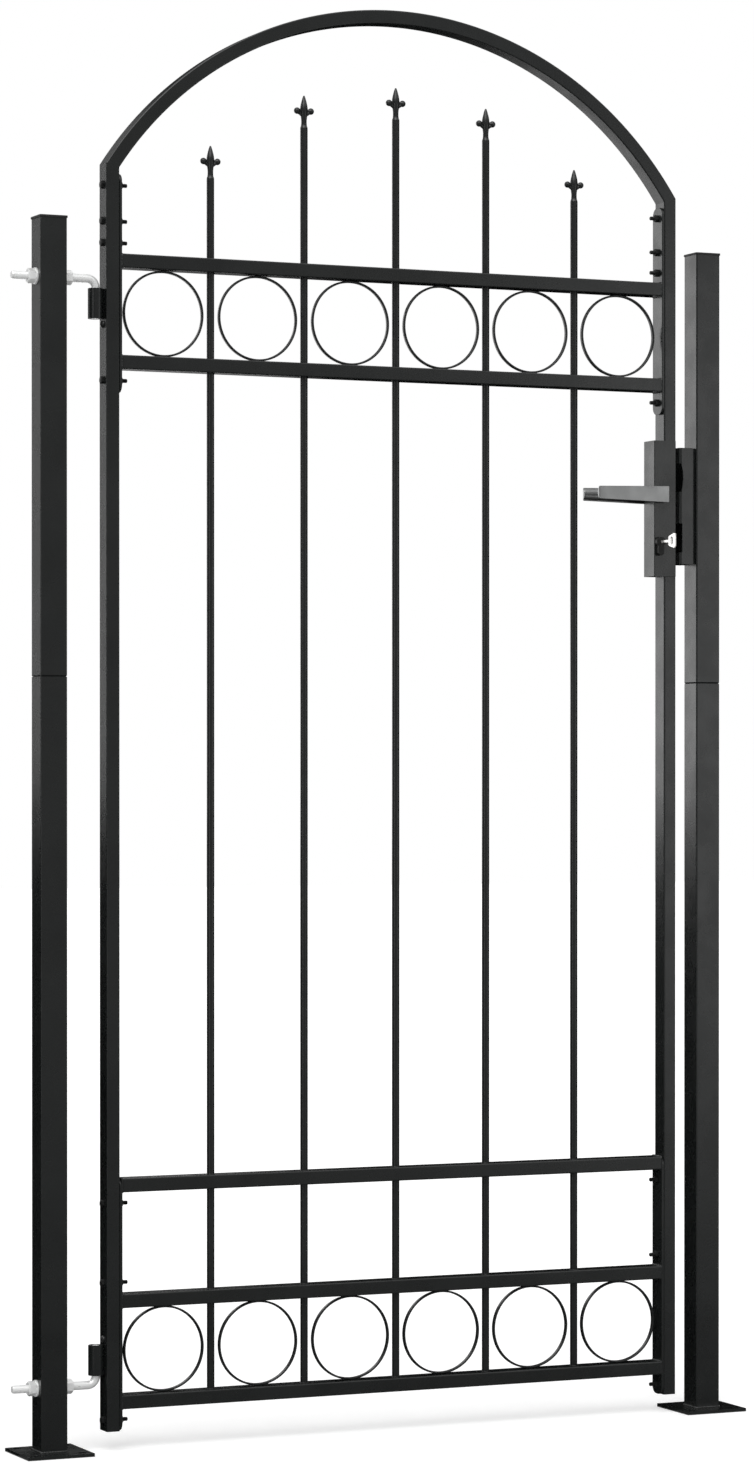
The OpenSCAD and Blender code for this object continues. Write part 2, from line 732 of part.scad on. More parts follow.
// ---- Keep ----

// Plan of the keep, from the face of the latch post: a narrow foot, then a bent box towards the leaf
module keep_plan() {
    box_w = keep_w - keep_foot;
    foot_d = keep_d - 2 * keep_step;
    difference() {
        union() {
            translate([-keep_foot - box_w / 2, 0]) round_rect(box_w, keep_d, keep_r);
            translate([-keep_foot - keep_r, -keep_d / 2]) square([keep_r, keep_d]);
            translate([-keep_foot - keep_r, -foot_d / 2]) square([keep_foot + keep_r, foot_d]);
        }
        translate([-keep_w + keep_wall, -keep_d / 2 + keep_wall])
            square([box_w - 2 * keep_wall, keep_d - 2 * keep_wall]);
        translate([-keep_foot - keep_wall - OVER, -foot_d / 2 + keep_wall])
            square([keep_foot + OVER, foot_d - 2 * keep_wall]);
    }
}

// Slot through the keep's mouth, and on round the front bend for a given width
module keep_slot(z, h, wrap) {
    translate([-keep_w - OVER, -slot_w / 2, z - h / 2]) cube([keep_wall + 2 * OVER, slot_w, h]);
    translate([-keep_w - OVER, -keep_d / 2 - OVER, z - h / 2])
        cube([wrap + OVER, keep_d / 2 + OVER, h]);
}

// Curved middle of the latch opening on the keep's front face
module latch_notch(z) {
    reach = latch_slot_wrap - keep_r;
    chord = latch_slot_h - 2 * notch_land;
    notch_r = ((chord / 2) ^ 2 + reach ^ 2) / (2 * reach);
    notch_h = chord + notch_land;
    intersection() {
        translate([-keep_w - OVER, -keep_d / 2 - OVER, z - notch_h / 2])
            cube([latch_slot_wrap + 2 * OVER, keep_d / 2 + OVER, notch_h]);
        translate([-keep_w + latch_slot_wrap - notch_r, 0, z]) rod_y(keep_d + 4 * OVER, 2 * notch_r);
    }
}

module latch_keep() {
    color("#1d1f1f") translate([latch_post_x - post_w / 2, 0, 0]) difference() {
        translate([0, 0, keep_z0]) linear_extrude(keep_h) keep_plan();
        keep_slot(latch_z, latch_slot_h, keep_r);
        latch_notch(latch_z);
        keep_slot(dead_z, dead_slot_h, dead_slot_wrap);
    }
}

hinge_post_base();
hinge_post_lower();
hinge_post_upper();
hinge_post_cap();
latch_post_base();
latch_post_lower();
latch_post_upper();
latch_post_cap();
upper_hinge_bolt();
upper_hinge_nuts();
lower_hinge_bolt();
lower_hinge_nuts();
latch_keep();
hinge_stile();
lock_stile_upper();
lock_stile_lower();
arch_top();
hinge_side_upper_flat();
hinge_side_lower_flat();
lock_side_upper_flat();
lock_side_lower_flat();
top_rail();
upper_ring_rail();
middle_rail();
lower_ring_rail();
bottom_rail();
spear_bar_1();
spear_bar_2();
spear_bar_3();
spear_bar_4();
spear_bar_5();
spear_points();
upper_rings();
lower_rings();
upper_hinge_barrel();
lower_hinge_barrel();
lock_case();
lock_faceplate();
lock_bolts();
lock_cylinder();
cylinder_plug();
key();
front_handle();
rear_handle();
handle_spindle();
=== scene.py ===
"""Looks of the arched steel garden gate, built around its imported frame.

Metres, in the frame's own axes: X runs along the gate from the hinge post to the latch
post, Y runs away from the viewer and Z is up. Pieces sit at the origin, with their place
in their mesh, and each one rides on the body that the frame gives it.
"""
import json
import math

import bmesh
import bpy
from mathutils import Matrix, Vector

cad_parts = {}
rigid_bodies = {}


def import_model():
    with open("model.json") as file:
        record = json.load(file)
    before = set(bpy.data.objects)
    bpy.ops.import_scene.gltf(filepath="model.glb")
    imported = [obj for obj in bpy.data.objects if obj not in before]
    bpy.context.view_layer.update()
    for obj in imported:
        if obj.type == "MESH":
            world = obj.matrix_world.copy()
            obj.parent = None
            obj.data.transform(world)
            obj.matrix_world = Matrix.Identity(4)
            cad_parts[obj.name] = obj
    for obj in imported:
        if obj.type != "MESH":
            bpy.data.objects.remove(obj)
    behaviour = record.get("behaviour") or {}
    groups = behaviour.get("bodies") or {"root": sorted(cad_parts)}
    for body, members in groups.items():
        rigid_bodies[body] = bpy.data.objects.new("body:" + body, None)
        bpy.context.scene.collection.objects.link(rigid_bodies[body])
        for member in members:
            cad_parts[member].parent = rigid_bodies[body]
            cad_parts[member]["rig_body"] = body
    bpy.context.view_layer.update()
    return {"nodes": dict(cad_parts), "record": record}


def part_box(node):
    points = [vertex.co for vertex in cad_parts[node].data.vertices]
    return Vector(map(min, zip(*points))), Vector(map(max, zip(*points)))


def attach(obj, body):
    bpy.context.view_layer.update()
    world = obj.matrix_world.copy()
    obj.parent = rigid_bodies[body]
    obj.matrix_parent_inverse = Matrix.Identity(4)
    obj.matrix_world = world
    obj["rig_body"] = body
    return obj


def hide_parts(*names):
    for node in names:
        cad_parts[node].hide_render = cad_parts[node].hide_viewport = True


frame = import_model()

MM = 0.001
SCENE = bpy.context.scene
NODES = frame["nodes"]
SLOT_OF = {part["node"]: part["material_slot"] for part in frame["record"]["subparts"]}


def middle_of(node):
    """The middle of a CAD node's box."""
    low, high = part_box(node)
    return (low + high) / 2


def size_of(node):
    """The size of a CAD node's box along X, Y and Z."""
    low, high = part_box(node)
    return high - low


def link(name, data):
    """A new object in the scene, at the origin."""
    made = bpy.data.objects.new(name, data)
    SCENE.collection.objects.link(made)
    return made


def rectangle(left, low, right, high):
    return [(left, low), (right, low), (right, high), (left, high)]


def raised(height):
    return Matrix.Translation((0, 0, height))


# ---- Node trees ----

def feed(tree, socket, value):
    """Links an output to the socket, or sets a plain value on it."""
    if isinstance(value, bpy.types.NodeSocket):
        tree.links.new(value, socket)
    else:
        socket.default_value = value


def add_node(tree, kind, settings=None, *values, **sockets):
    """A node with values or outputs on its sockets: the first ones in order, others by name."""
    made = tree.nodes.new(kind)
    for name, value in (settings or {}).items():
        setattr(made, name, value)
    for socket, value in zip(made.inputs, values):
        feed(tree, socket, value)
    for name, value in sockets.items():
        feed(tree, made.inputs[name.replace("_", " ")], value)
    return made


def add_sum(tree, operation, *values):
    return add_node(tree, "ShaderNodeMath", {"operation": operation}, *values).outputs[0]


def on_shader(material, **sockets):
    """Sets or links sockets of the material's own shader."""
    tree = material.node_tree
    for name, value in sockets.items():
        feed(tree, tree.nodes["Principled BSDF"].inputs[name.replace("_", " ")], value)


def principled(name, **sockets):
    """A new material, with what is the same all over set on the shader's own sockets."""
    material = bpy.data.materials.new(name)
    material.use_nodes = True
    on_shader(material, **sockets)
    return material


# ---- Camera ----

CAMERA_AT = Vector((-2.078, -5.717, 0.96))
CAMERA_YAW = math.radians(-24.38)
CAMERA_DIP = math.radians(0.36)
LENS_MM = 104.56
SENSOR_MM = 36.0
SHIFT_X = -0.0003
SHIFT_Y = 0.0508


def add_camera():
    data = bpy.data.cameras.new("camera")
    data.sensor_fit = "VERTICAL"
    data.sensor_height = SENSOR_MM
    data.lens = LENS_MM
    data.shift_x = SHIFT_X
    data.shift_y = SHIFT_Y
    data.clip_end = 100.0
    camera = link("camera", data)
    camera.location = CAMERA_AT
    camera.rotation_euler = (math.pi / 2 - CAMERA_DIP, 0.0, CAMERA_YAW)
    SCENE.camera = camera


# ---- Studio: world, floor, sun and cards ----

SKY_LIGHT = 0.72  # what the world gives to matt surfaces
WHITE = (1, 1, 1, 1)
FLOOR_COLOUR = (0.88, 0.88, 0.88, 1)
FLOOR_LIFT = 0.30  # how much whiter the floor shows to the camera
FLOOR_HALF = 30.0
CARD_LIFT = 0.001  # how far a card on the floor lies over it
SUN_STRENGTH = 1.25
SUN_SPREAD = math.radians(50)
SUN_TURN = (math.radians(38), 0.0, math.radians(-35))


def ray_is(tree, *kinds):
    """1 where the ray is one of these kinds, 0 where it isn't."""
    path = add_node(tree, "ShaderNodeLightPath")
    found = 0.0
    for kind in kinds:
        found = add_sum(tree, "MAXIMUM", found, path.outputs[f"Is {kind} Ray"])
    return found


def add_world():
    """White for the camera, gloss and glass, and a plain soft light for the rest."""
    world = bpy.data.worlds.new("studio")
    world.use_nodes = True
    SCENE.world = world
    tree = world.node_tree
    seen = tree.nodes["Background"]
    seen.inputs["Color"].default_value = WHITE
    seen.inputs["Strength"].default_value = 1.0
    soft = add_node(tree, "ShaderNodeBackground", Color=WHITE, Strength=SKY_LIGHT)
    rays = ray_is(tree, "Camera", "Glossy", "Transmission")
    mix = add_node(tree, "ShaderNodeMixShader", None, rays, soft.outputs[0], seen.outputs[0])
    feed(tree, tree.nodes["World Output"].inputs["Surface"], mix.outputs[0])


def sheet(name, corners):
    mesh = bpy.data.meshes.new(name)
    mesh.from_pydata(corners, [], [tuple(range(len(corners)))])
    made = link(name, mesh)
    return made


def add_floor():
    """A pale floor that keeps the gate's shadow and shows about white."""
    corners = rectangle(-FLOOR_HALF, -FLOOR_HALF, FLOOR_HALF, FLOOR_HALF)
    floor = sheet("floor", [(x, y, 0) for x, y in corners])
    material = principled("pale_floor", Base_Color=FLOOR_COLOUR, Roughness=1.0, Specular_IOR_Level=0.0)
    tree = material.node_tree
    lift = add_sum(tree, "MULTIPLY", ray_is(tree, "Camera", "Glossy"), FLOOR_LIFT)
    glow = add_node(tree, "ShaderNodeEmission", Strength=lift)
    matt = tree.nodes["Principled BSDF"]
    both = add_node(tree, "ShaderNodeAddShader", None, matt.outputs[0], glow.outputs[0])
    feed(tree, tree.nodes["Material Output"].inputs["Surface"], both.outputs[0])
    floor.data.materials.append(material)


def add_sun():
    lamp = bpy.data.lights.new("sun", "SUN")
    lamp.energy = SUN_STRENGTH
    lamp.angle = SUN_SPREAD
    link("sun", lamp).rotation_euler = SUN_TURN


def gloss_only(card, shade):
    """Makes a card that only shows in gloss, as a studio's flags and reflectors do."""
    material = bpy.data.materials.new(card.name)
    material.use_nodes = True
    tree = material.node_tree
    glow = add_node(tree, "ShaderNodeEmission", Color=WHITE, Strength=shade)
    feed(tree, tree.nodes["Material Output"].inputs["Surface"], glow.outputs[0])
    card.data.materials.append(material)
    for ray in ("camera", "diffuse", "transmission", "shadow"):
        setattr(card, "visible_" + ray, False)


def screen(name, start, end, bottom, top, shade):
    """A card that stands between two places on the floor."""
    corners = [(*start, bottom), (*end, bottom), (*end, top), (*start, top)]
    gloss_only(sheet(name, corners), shade)


def floor_card(name, start, end, shade):
    """A card lying just over the floor, between two opposite corners."""
    corners = [(x, y, CARD_LIFT) for x, y in rectangle(*start, *end)]
    gloss_only(sheet(name, corners), shade)


def add_cards():
    """Flags that keep the black gate dark, and reflectors for its sides and the arch's underside."""
    screen("front_flag", (-1.6, -3.4), (2.4, -3.0), 0.0, 3.5, 0.28)
    screen("front_reflector", (2.4, -3.0), (3.6, -3.0), 0.6, 2.2, 1.6)
    screen("front_low_reflector", (2.4, -3.0), (3.6, -3.0), 0.0, 0.6, 0.95)
    screen("front_upper_flag", (2.4, -3.0), (3.6, -3.0), 2.2, 3.5, 0.4)
    screen("right_flag", (3.6, -3.0), (4.2, 2.0), 0.0, 3.5, 0.05)
    screen("back_flag", (0.1, 3.0), (4.2, 3.0), 0.0, 4.0, 0.0)
    screen("back_left_flag", (-2.2, 1.8), (-0.33, 1.8), 0.93, 3.5, 0.36)
    screen("back_reflector", (-0.3, 1.8), (0.35, 1.8), 0.89, 2.3, 2.4)
    screen("back_upper_flag", (-0.3, 1.8), (0.35, 1.8), 2.3, 3.5, 0.3)
    screen("arch_reflector", (0.35, 1.8), (0.75, 1.8), 0.85, 1.3, 1.6)
    screen("arch_dim_reflector", (0.75, 1.8), (0.98, 1.8), 0.85, 1.2, 1.3)
    screen("arch_faint_reflector", (0.98, 1.8), (1.15, 1.8), 0.92, 1.24, 0.8)
    screen("back_low_left_flag", (-4.0, 1.8), (-0.3, 1.8), 0.0, 0.93, 0.0)
    screen("back_low_flag", (-0.3, 1.8), (0.35, 1.8), 0.0, 0.89, 0.0)
    screen("left_front_flag", (-1.6, -3.4), (-2.9, -2.6), 0.0, 3.5, 0.08)
    screen("left_reflector", (-2.9, -2.6), (-3.5, -1.7), 0.0, 2.25, 1.6)
    screen("left_upper_flag", (-2.9, -2.6), (-3.5, -1.7), 2.25, 3.5, 0.05)
    screen("left_flag", (-3.5, -1.7), (-3.4, 1.6), 0.0, 3.5, 0.05)
    floor_card("near_floor_flag", (-4.0, -3.0), (4.0, 0.0), 0.12)
    floor_card("front_floor_flag", (-30.0, -30.0), (30.0, -3.0), 0.28)
    floor_card("back_floor_flag", (-30.0, 0.0), (30.0, 30.0), 0.0)


# ---- Finishes ----

NOISE_LOW = 0.3  # the span that a grain's noise mostly keeps to
NOISE_HIGH = 0.7


def grain(material, scale, detail, stretch=(1, 1, 1)):
    """Noise on the piece's own coordinates; scale is in cells to the metre."""
    tree = material.node_tree
    where = add_node(tree, "ShaderNodeTexCoord").outputs["Object"]
    place = add_node(tree, "ShaderNodeMapping", Vector=where, Scale=stretch).outputs[0]
    return add_node(tree, "ShaderNodeTexNoise", Vector=place, Scale=scale, Detail=detail).outputs["Fac"]


def vary_roughness(material, noise, low, high):
    """Roughness from low to high; noise is what grain takes."""
    spread = add_node(
        material.node_tree, "ShaderNodeMapRange", Value=grain(material, *noise),
        From_Min=NOISE_LOW, From_Max=NOISE_HIGH, To_Min=low, To_Max=high)
    on_shader(material, Roughness=spread.outputs[0])


def vary_colour(material, noise, dark, light):
    ramp = add_node(material.node_tree, "ShaderNodeValToRGB", Fac=grain(material, *noise))
    for stop, place, colour in zip(ramp.color_ramp.elements, (NOISE_LOW, NOISE_HIGH), (dark, light)):
        stop.position = place
        stop.color = (*colour, 1)
    on_shader(material, Base_Color=ramp.outputs["Color"])


def add_bump(material, noise, depth, under=None):
    """Bump of a true depth in metres, over another bump where one is given."""
    bump = add_node(material.node_tree, "ShaderNodeBump", Distance=depth, Height=grain(material, *noise))
    if under:
        feed(material.node_tree, bump.inputs["Normal"], under)
    on_shader(material, Normal=bump.outputs[0])
    return bump.outputs[0]


def black_powder_coat():
    """Satin black powder coat: orange peel, a fine grain, and slightly uneven gloss."""
    material = principled("black_powder_coat", Specular_IOR_Level=0.55)
    vary_colour(material, (9, 4), (0.007, 0.008, 0.0078), (0.0105, 0.012, 0.0117))
    vary_roughness(material, (26, 3), 0.23, 0.31)
    peel = add_bump(material, (420, 1), 0.05 * MM)
    add_bump(material, (2600, 2), 0.006 * MM, under=peel)
    return material


def black_plastic():
    material = principled("black_plastic", Specular_IOR_Level=0.4)
    vary_colour(material, (30, 3), (0.009, 0.0095, 0.0095), (0.014, 0.0145, 0.0145))
    vary_roughness(material, (60, 2), 0.46, 0.58)
    add_bump(material, (2200, 3), 0.02 * MM)
    return material


def blackened_steel():
    """Blackened steel of the panel bolts, the lock cylinder and its plug."""
    material = principled("blackened_steel", Specular_IOR_Level=0.3)
    vary_colour(material, (160, 3), (0.006, 0.0065, 0.0065), (0.013, 0.0135, 0.013))
    vary_roughness(material, (300, 3), 0.42, 0.58)
    add_bump(material, (1800, 3), 0.015 * MM)
    return material


def zinc_plate():
    material = principled("zinc_plate", Metallic=0.4)
    vary_colour(material, (70, 4), (0.9, 0.905, 0.9), (0.95, 0.955, 0.95))
    vary_roughness(material, (240, 4, (0.25, 1, 1)), 0.24, 0.40)
    add_bump(material, (1500, 3, (0.12, 1, 1)), 0.012 * MM)
    return material


def lock_steel():
    material = principled("lock_steel", Metallic=1.0)
    vary_colour(material, (60, 3), (0.48, 0.48, 0.47), (0.6, 0.6, 0.59))
    vary_roughness(material, (500, 3, (1, 1, 0.03)), 0.26, 0.44)
    add_bump(material, (2400, 2, (1, 1, 0.02)), 0.012 * MM)
    return material


def nickel():
    material = principled("nickel", Metallic=0.7)
    vary_colour(material, (80, 3), (0.76, 0.75, 0.73), (0.86, 0.85, 0.835))
    vary_roughness(material, (700, 3, (1, 0.05, 1)), 0.20, 0.32)
    add_bump(material, (2600, 2, (1, 0.04, 1)), 0.008 * MM)
    return material


def grey_lever():
    """Satin grey metallic finish with a fine fleck on the cast levers."""
    material = principled("grey_lever", Metallic=1.0)
    vary_colour(material, (1900, 2), (0.275, 0.279, 0.279), (0.335, 0.34, 0.34))
    vary_roughness(material, (45, 3), 0.27, 0.37)
    add_bump(material, (900, 2), 0.012 * MM)
    return material


BLACK = "black_powder_coat"
FINISHES = {
    make.__name__: make() for make in (
        black_powder_coat, black_plastic, zinc_plate, lock_steel, blackened_steel, nickel, grey_lever)}


# ---- Making and placing pieces ----

SMOOTH_UP_TO = math.radians(32)


def from_bmesh(name, shape):
    mesh = bpy.data.meshes.new(name)
    shape.to_mesh(mesh)
    shape.free()
    return link(name, mesh)


def work_in(piece):
    """Makes the piece a plain mesh, with what its modifiers did."""
    bpy.context.view_layer.update()
    graph = bpy.context.evaluated_depsgraph_get()
    mesh = bpy.data.meshes.new_from_object(piece.evaluated_get(graph))
    piece.modifiers.clear()
    piece.data = mesh
    return piece


def shade(piece):
    """Smooth shading that stops at sharp edges and stays flat on broad faces."""
    shape = bmesh.new()
    shape.from_mesh(piece.data)
    for face in shape.faces:
        face.smooth = True
    for edge in shape.edges:
        edge.smooth = len(edge.link_faces) == 2 and edge.calc_face_angle() < SMOOTH_UP_TO
    shape.to_mesh(piece.data)
    shape.free()
    even = piece.modifiers.new("even", "WEIGHTED_NORMAL")
    even.keep_sharp = True
    even.weight = 90
    return work_in(piece)


def round_edges(piece, width):
    """Rounds over every edge sharper than a tube's own corners."""
    bevel = piece.modifiers.new("edges", "BEVEL")
    bevel.width = width
    bevel.segments = 2
    bevel.limit_method = "ANGLE"
    bevel.angle_limit = SMOOTH_UP_TO
    bevel.miter_outer = "MITER_ARC"
    return work_in(piece)


def combine(piece, tool, operation):
    """Adds, cuts or intersects with a tool, which is used up."""
    step = piece.modifiers.new("combine", "BOOLEAN")
    step.operation = operation
    step.object = tool
    step.solver = "EXACT"
    work_in(piece)
    bpy.data.objects.remove(tool)
    return piece


def join(name, pieces):
    """One mesh from several, the others used up."""
    shape = bmesh.new()
    for piece in pieces:
        shape.from_mesh(piece.data)
        bpy.data.objects.remove(piece)
    return from_bmesh(name, shape)


def move(piece, matrix):
    piece.data.transform(matrix)
    return piece


def paint(piece, material):
    piece.data.materials.clear()
    piece.data.materials.append(material)


def fit(piece, body, slot):
    """A piece of its own: rides on a body and takes a slot's finish."""
    paint(piece, FINISHES[slot])
    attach(piece, body)


def stand_for(piece, node):
    """A piece that is shown in place of a CAD node, on its body and with its finish."""
    fit(piece, NODES[node]["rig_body"], SLOT_OF[node])
    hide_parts(node)


def soften(node, width):
    """A copy of a CAD node with its edges rounded over."""
    shape = bmesh.new()
    shape.from_mesh(NODES[node].data)
    bmesh.ops.remove_doubles(shape, verts=shape.verts, dist=0.001 * MM)
    bmesh.ops.dissolve_limit(shape, angle_limit=math.radians(0.5), verts=shape.verts, edges=shape.edges)
    piece = from_bmesh(node + "_softened", shape)
    stand_for(shade(round_edges(piece, width)), node)


def fillet(points, radius, steps=4):
    """The closed outline with an arc of this radius at each corner."""
    path = [Vector(point) for point in points]
    found = []
    for i, corner in enumerate(path):
        before = (path[i - 1] - corner).normalized()
        after = (path[(i + 1) % len(path)] - corner).normalized()
        half = before.angle(after) / 2
        reach = radius / math.tan(half)
        centre = corner + (before + after).normalized() * radius / math.sin(half)
        start = corner + before * reach - centre
        end = corner + after * reach - centre
        turn = start.angle_signed(end)
        for k in range(steps + 1):
            bent = start.copy()
            bent.rotate(Matrix.Rotation(-turn * k / steps, 2))
            found.append(centre + bent)
    return found


def skin(name, loops, ring=False):
    """A closed mesh over loops of points; a loop of one point closes a pole."""
    shape = bmesh.new()
    rows = [[shape.verts.new(point) for point in loop] for loop in loops]
    pairs = list(zip(rows, rows[1:]))
    if ring:
        pairs.append((rows[-1], rows[0]))
    for low, high in pairs:
        count = max(len(low), len(high))
        for i in range(count):
            j = (i + 1) % count
            corners = [low[i % len(low)], low[j % len(low)], high[j % len(high)], high[i % len(high)]]
            shape.faces.new(list(dict.fromkeys(corners)))
    if not ring:
        for row in (rows[0], rows[-1]):
            if len(row) > 2:
                shape.faces.new(row)
    bmesh.ops.recalc_face_normals(shape, faces=shape.faces)
    return from_bmesh(name, shape)


def circle(radius, height, segments):
    """A loop of points round Z, or one point on the axis where the radius is nothing."""
    if radius <= 0:
        return [(0, 0, height)]
    turns = [2 * math.pi * i / segments for i in range(segments)]
    return [(radius * math.cos(turn), radius * math.sin(turn), height) for turn in turns]


def lathe(name, outline, segments=48, ring=False):
    """A turned piece round Z, from its outline of radius and height."""
    return skin(name, [circle(radius, height, segments) for radius, height in outline], ring)


def prism(name, outline, depth):
    """The outline in X and Y, drawn up along Z from 0."""
    return skin(name, [[(x, y, z) for x, y in outline] for z in (0, depth)])


ALONG_X = Matrix.Rotation(math.pi / 2, 4, "Y")
AGAINST_X = ALONG_X.inverted()


# ---- Geometry Nodes ----

class Tree:
    """A Geometry Nodes tree in the making: named sizes in, one mesh out."""

    def __init__(self, name, takes_mesh=False):
        self.group = bpy.data.node_groups.new(name, "GeometryNodeTree")
        self.start = self.group.nodes.new("NodeGroupInput")
        if takes_mesh:
            self.mesh = self.size("Mesh", "NodeSocketGeometry")

    def size(self, name, kind="NodeSocketFloat"):
        self.group.interface.new_socket(name, in_out="INPUT", socket_type=kind)
        return self.start.outputs[name]

    def node(self, *settings, **sockets):
        return add_node(self.group, *settings, **sockets)

    def sum(self, operation, *values):
        return add_sum(self.group, operation, *values)

    def vector(self, x, y, z):
        return self.node("ShaderNodeCombineXYZ", X=x, Y=y, Z=z).outputs[0]

    def parts(self, vector):
        return self.node("ShaderNodeSeparateXYZ", Vector=vector).outputs

    def end(self, geometry):
        """Closes the tree with Realize Instances and Set Material."""
        self.group.interface.new_socket("Mesh", in_out="OUTPUT", socket_type="NodeSocketGeometry")
        finish = self.size("Finish", "NodeSocketMaterial")
        real = self.node("GeometryNodeRealizeInstances", Geometry=geometry)
        painted = self.node("GeometryNodeSetMaterial", Geometry=real.outputs[0], Material=finish)
        self.node("NodeGroupOutput", None, painted.outputs[0])
        return self


def grow(tree, piece, slot, **sizes):
    """Runs a tree on a piece with these sizes, and keeps the result as its plain mesh."""
    step = piece.modifiers.new("grow", "NODES")
    step.node_group = tree.group
    values = {name.replace("_", " "): value for name, value in sizes.items()}
    values["Finish"] = FINISHES[slot]
    for item in tree.group.interface.items_tree:
        if item.in_out == "INPUT" and item.socket_type != "NodeSocketGeometry":
            step[item.identifier] = values.pop(item.name)
    assert not values, values
    return work_in(piece)


def wire(name, points, edges=()):
    """Points and the lines between them, for a tree to build on."""
    mesh = bpy.data.meshes.new(name)
    mesh.from_pydata([tuple(point) for point in points], list(edges), [])
    return link(name, mesh)


def set_on(name, one, places, slot, facing=0.0, most_turn=0.0, seed=1):
    """One piece with this fixing or casting, which is used up, on every place."""
    row = grow(
        FIXINGS, wire(name, places), slot,
        Fixing=one, Facing=facing, Most_turn=most_turn, Seed=seed)
    bpy.data.objects.remove(one)
    return row


def thread_tree():
    """Cuts a thread into a rod that lies along X."""
    tree = Tree("cut_thread", takes_mesh=True)
    height = tree.size("Axis height")
    pitch = tree.size("Pitch")
    depth = tree.size("Depth")
    start = tree.size("Start")
    stop = tree.size("Stop")
    x, y, z = tree.parts(tree.node("GeometryNodeInputPosition").outputs[0])
    over = tree.sum("SUBTRACT", z, height)
    square = tree.sum("ADD", tree.sum("MULTIPLY", y, y), tree.sum("MULTIPLY", over, over))
    radius = tree.sum("SQRT", square)
    turn = tree.sum("DIVIDE", tree.sum("ARCTAN2", over, y), 2 * math.pi)
    along = tree.sum("SUBTRACT", tree.sum("DIVIDE", x, pitch), turn)
    wave = tree.sum("MULTIPLY", tree.sum("PINGPONG", along, 0.5), 2.0)
    inside = tree.sum("MULTIPLY", tree.sum("GREATER_THAN", x, start), tree.sum("LESS_THAN", x, stop))
    cut = tree.sum("MULTIPLY", tree.sum("MULTIPLY", wave, depth), inside)
    keep = tree.sum("DIVIDE", tree.sum("SUBTRACT", radius, cut), tree.sum("MAXIMUM", radius, 0.01 * MM))
    kept_z = tree.sum("ADD", tree.sum("MULTIPLY", over, keep), height)
    place = tree.vector(x, tree.sum("MULTIPLY", y, keep), kept_z)
    moved = tree.node("GeometryNodeSetPosition", Geometry=tree.mesh, Position=place)
    return tree.end(moved.outputs[0])


def arch_tree():
    """Bends a straight tube into the arch, each fibre from mitre to mitre.

    The tube comes with its share of the arc as X and its height over the arch's inner
    face as Z. A mitre is a straight cut, given by its distance from the arch's centre
    and by the way it faces.
    """
    tree = Tree("bend_arch", takes_mesh=True)
    middle = tree.size("Middle")
    centre = tree.size("Centre height")
    inner = tree.size("Inner radius")
    distance = tree.size("Mitre distance")
    facing = tree.size("Mitre facing")
    share, depth, over = tree.parts(tree.node("GeometryNodeInputPosition").outputs[0])
    radius = tree.sum("ADD", inner, over)
    first = tree.sum("SUBTRACT", facing, tree.sum("ARCCOSINE", tree.sum("DIVIDE", distance, radius)))
    sweep = tree.sum("SUBTRACT", math.pi, tree.sum("MULTIPLY", first, 2.0))
    angle = tree.sum("SUBTRACT", math.pi, tree.sum("ADD", first, tree.sum("MULTIPLY", sweep, share)))
    x = tree.sum("ADD", middle, tree.sum("MULTIPLY", radius, tree.sum("COSINE", angle)))
    z = tree.sum("ADD", centre, tree.sum("MULTIPLY", radius, tree.sum("SINE", angle)))
    moved = tree.node("GeometryNodeSetPosition", Geometry=tree.mesh, Position=tree.vector(x, depth, z))
    return tree.end(moved.outputs[0])


def ring_tree():
    """A row of rolled strip rings, each with a tack weld at its top and bottom."""
    tree = Tree("ring_row")
    radius = tree.size("Middle radius")
    thick = tree.size("Strip thickness")
    wide = tree.size("Strip width")
    edge = tree.size("Strip edge radius")
    count = tree.size("Rings", "NodeSocketInt")
    pitch = tree.size("Pitch")
    first = tree.size("First centre", "NodeSocketVector")
    tack_reach = tree.size("Tack reach")
    tack_size = tree.size("Tack size", "NodeSocketVector")
    hoop = tree.node("GeometryNodeCurvePrimitiveCircle", Resolution=128, Radius=radius)
    strip = tree.node("GeometryNodeCurvePrimitiveQuadrilateral", Width=thick, Height=wide)
    soft = tree.node(
        "GeometryNodeFilletCurve", {"mode": "POLY"}, Curve=strip.outputs[0], Count=3, Radius=edge)
    band = tree.node("GeometryNodeCurveToMesh", Curve=hoop.outputs[0], Profile_Curve=soft.outputs[0])
    blob = tree.node("GeometryNodeMeshUVSphere", Segments=16, Rings=10, Radius=1.0)
    tacks = []
    for side in (1.0, -1.0):
        spot = tree.vector(0.0, tree.sum("MULTIPLY", tack_reach, side), 0.0)
        tacks.append(tree.node(
            "GeometryNodeTransform", Geometry=blob.outputs["Mesh"], Translation=spot, Scale=tack_size))
    one = tree.group.nodes.new("GeometryNodeJoinGeometry")
    for part in (band, *tacks):
        tree.group.links.new(part.outputs[0], one.inputs[0])
    smooth = tree.node("GeometryNodeSetShadeSmooth", Geometry=one.outputs[0])
    up = tree.node(
        "GeometryNodeTransform", Geometry=smooth.outputs[0], Rotation=(math.pi / 2, 0, 0))
    line = tree.node(
        "GeometryNodeMeshLine", Count=count, Start_Location=first, Offset=tree.vector(pitch, 0.0, 0.0))
    row = tree.node("GeometryNodeInstanceOnPoints", Points=line.outputs[0], Instance=up.outputs[0])
    return tree.end(row.outputs[0])


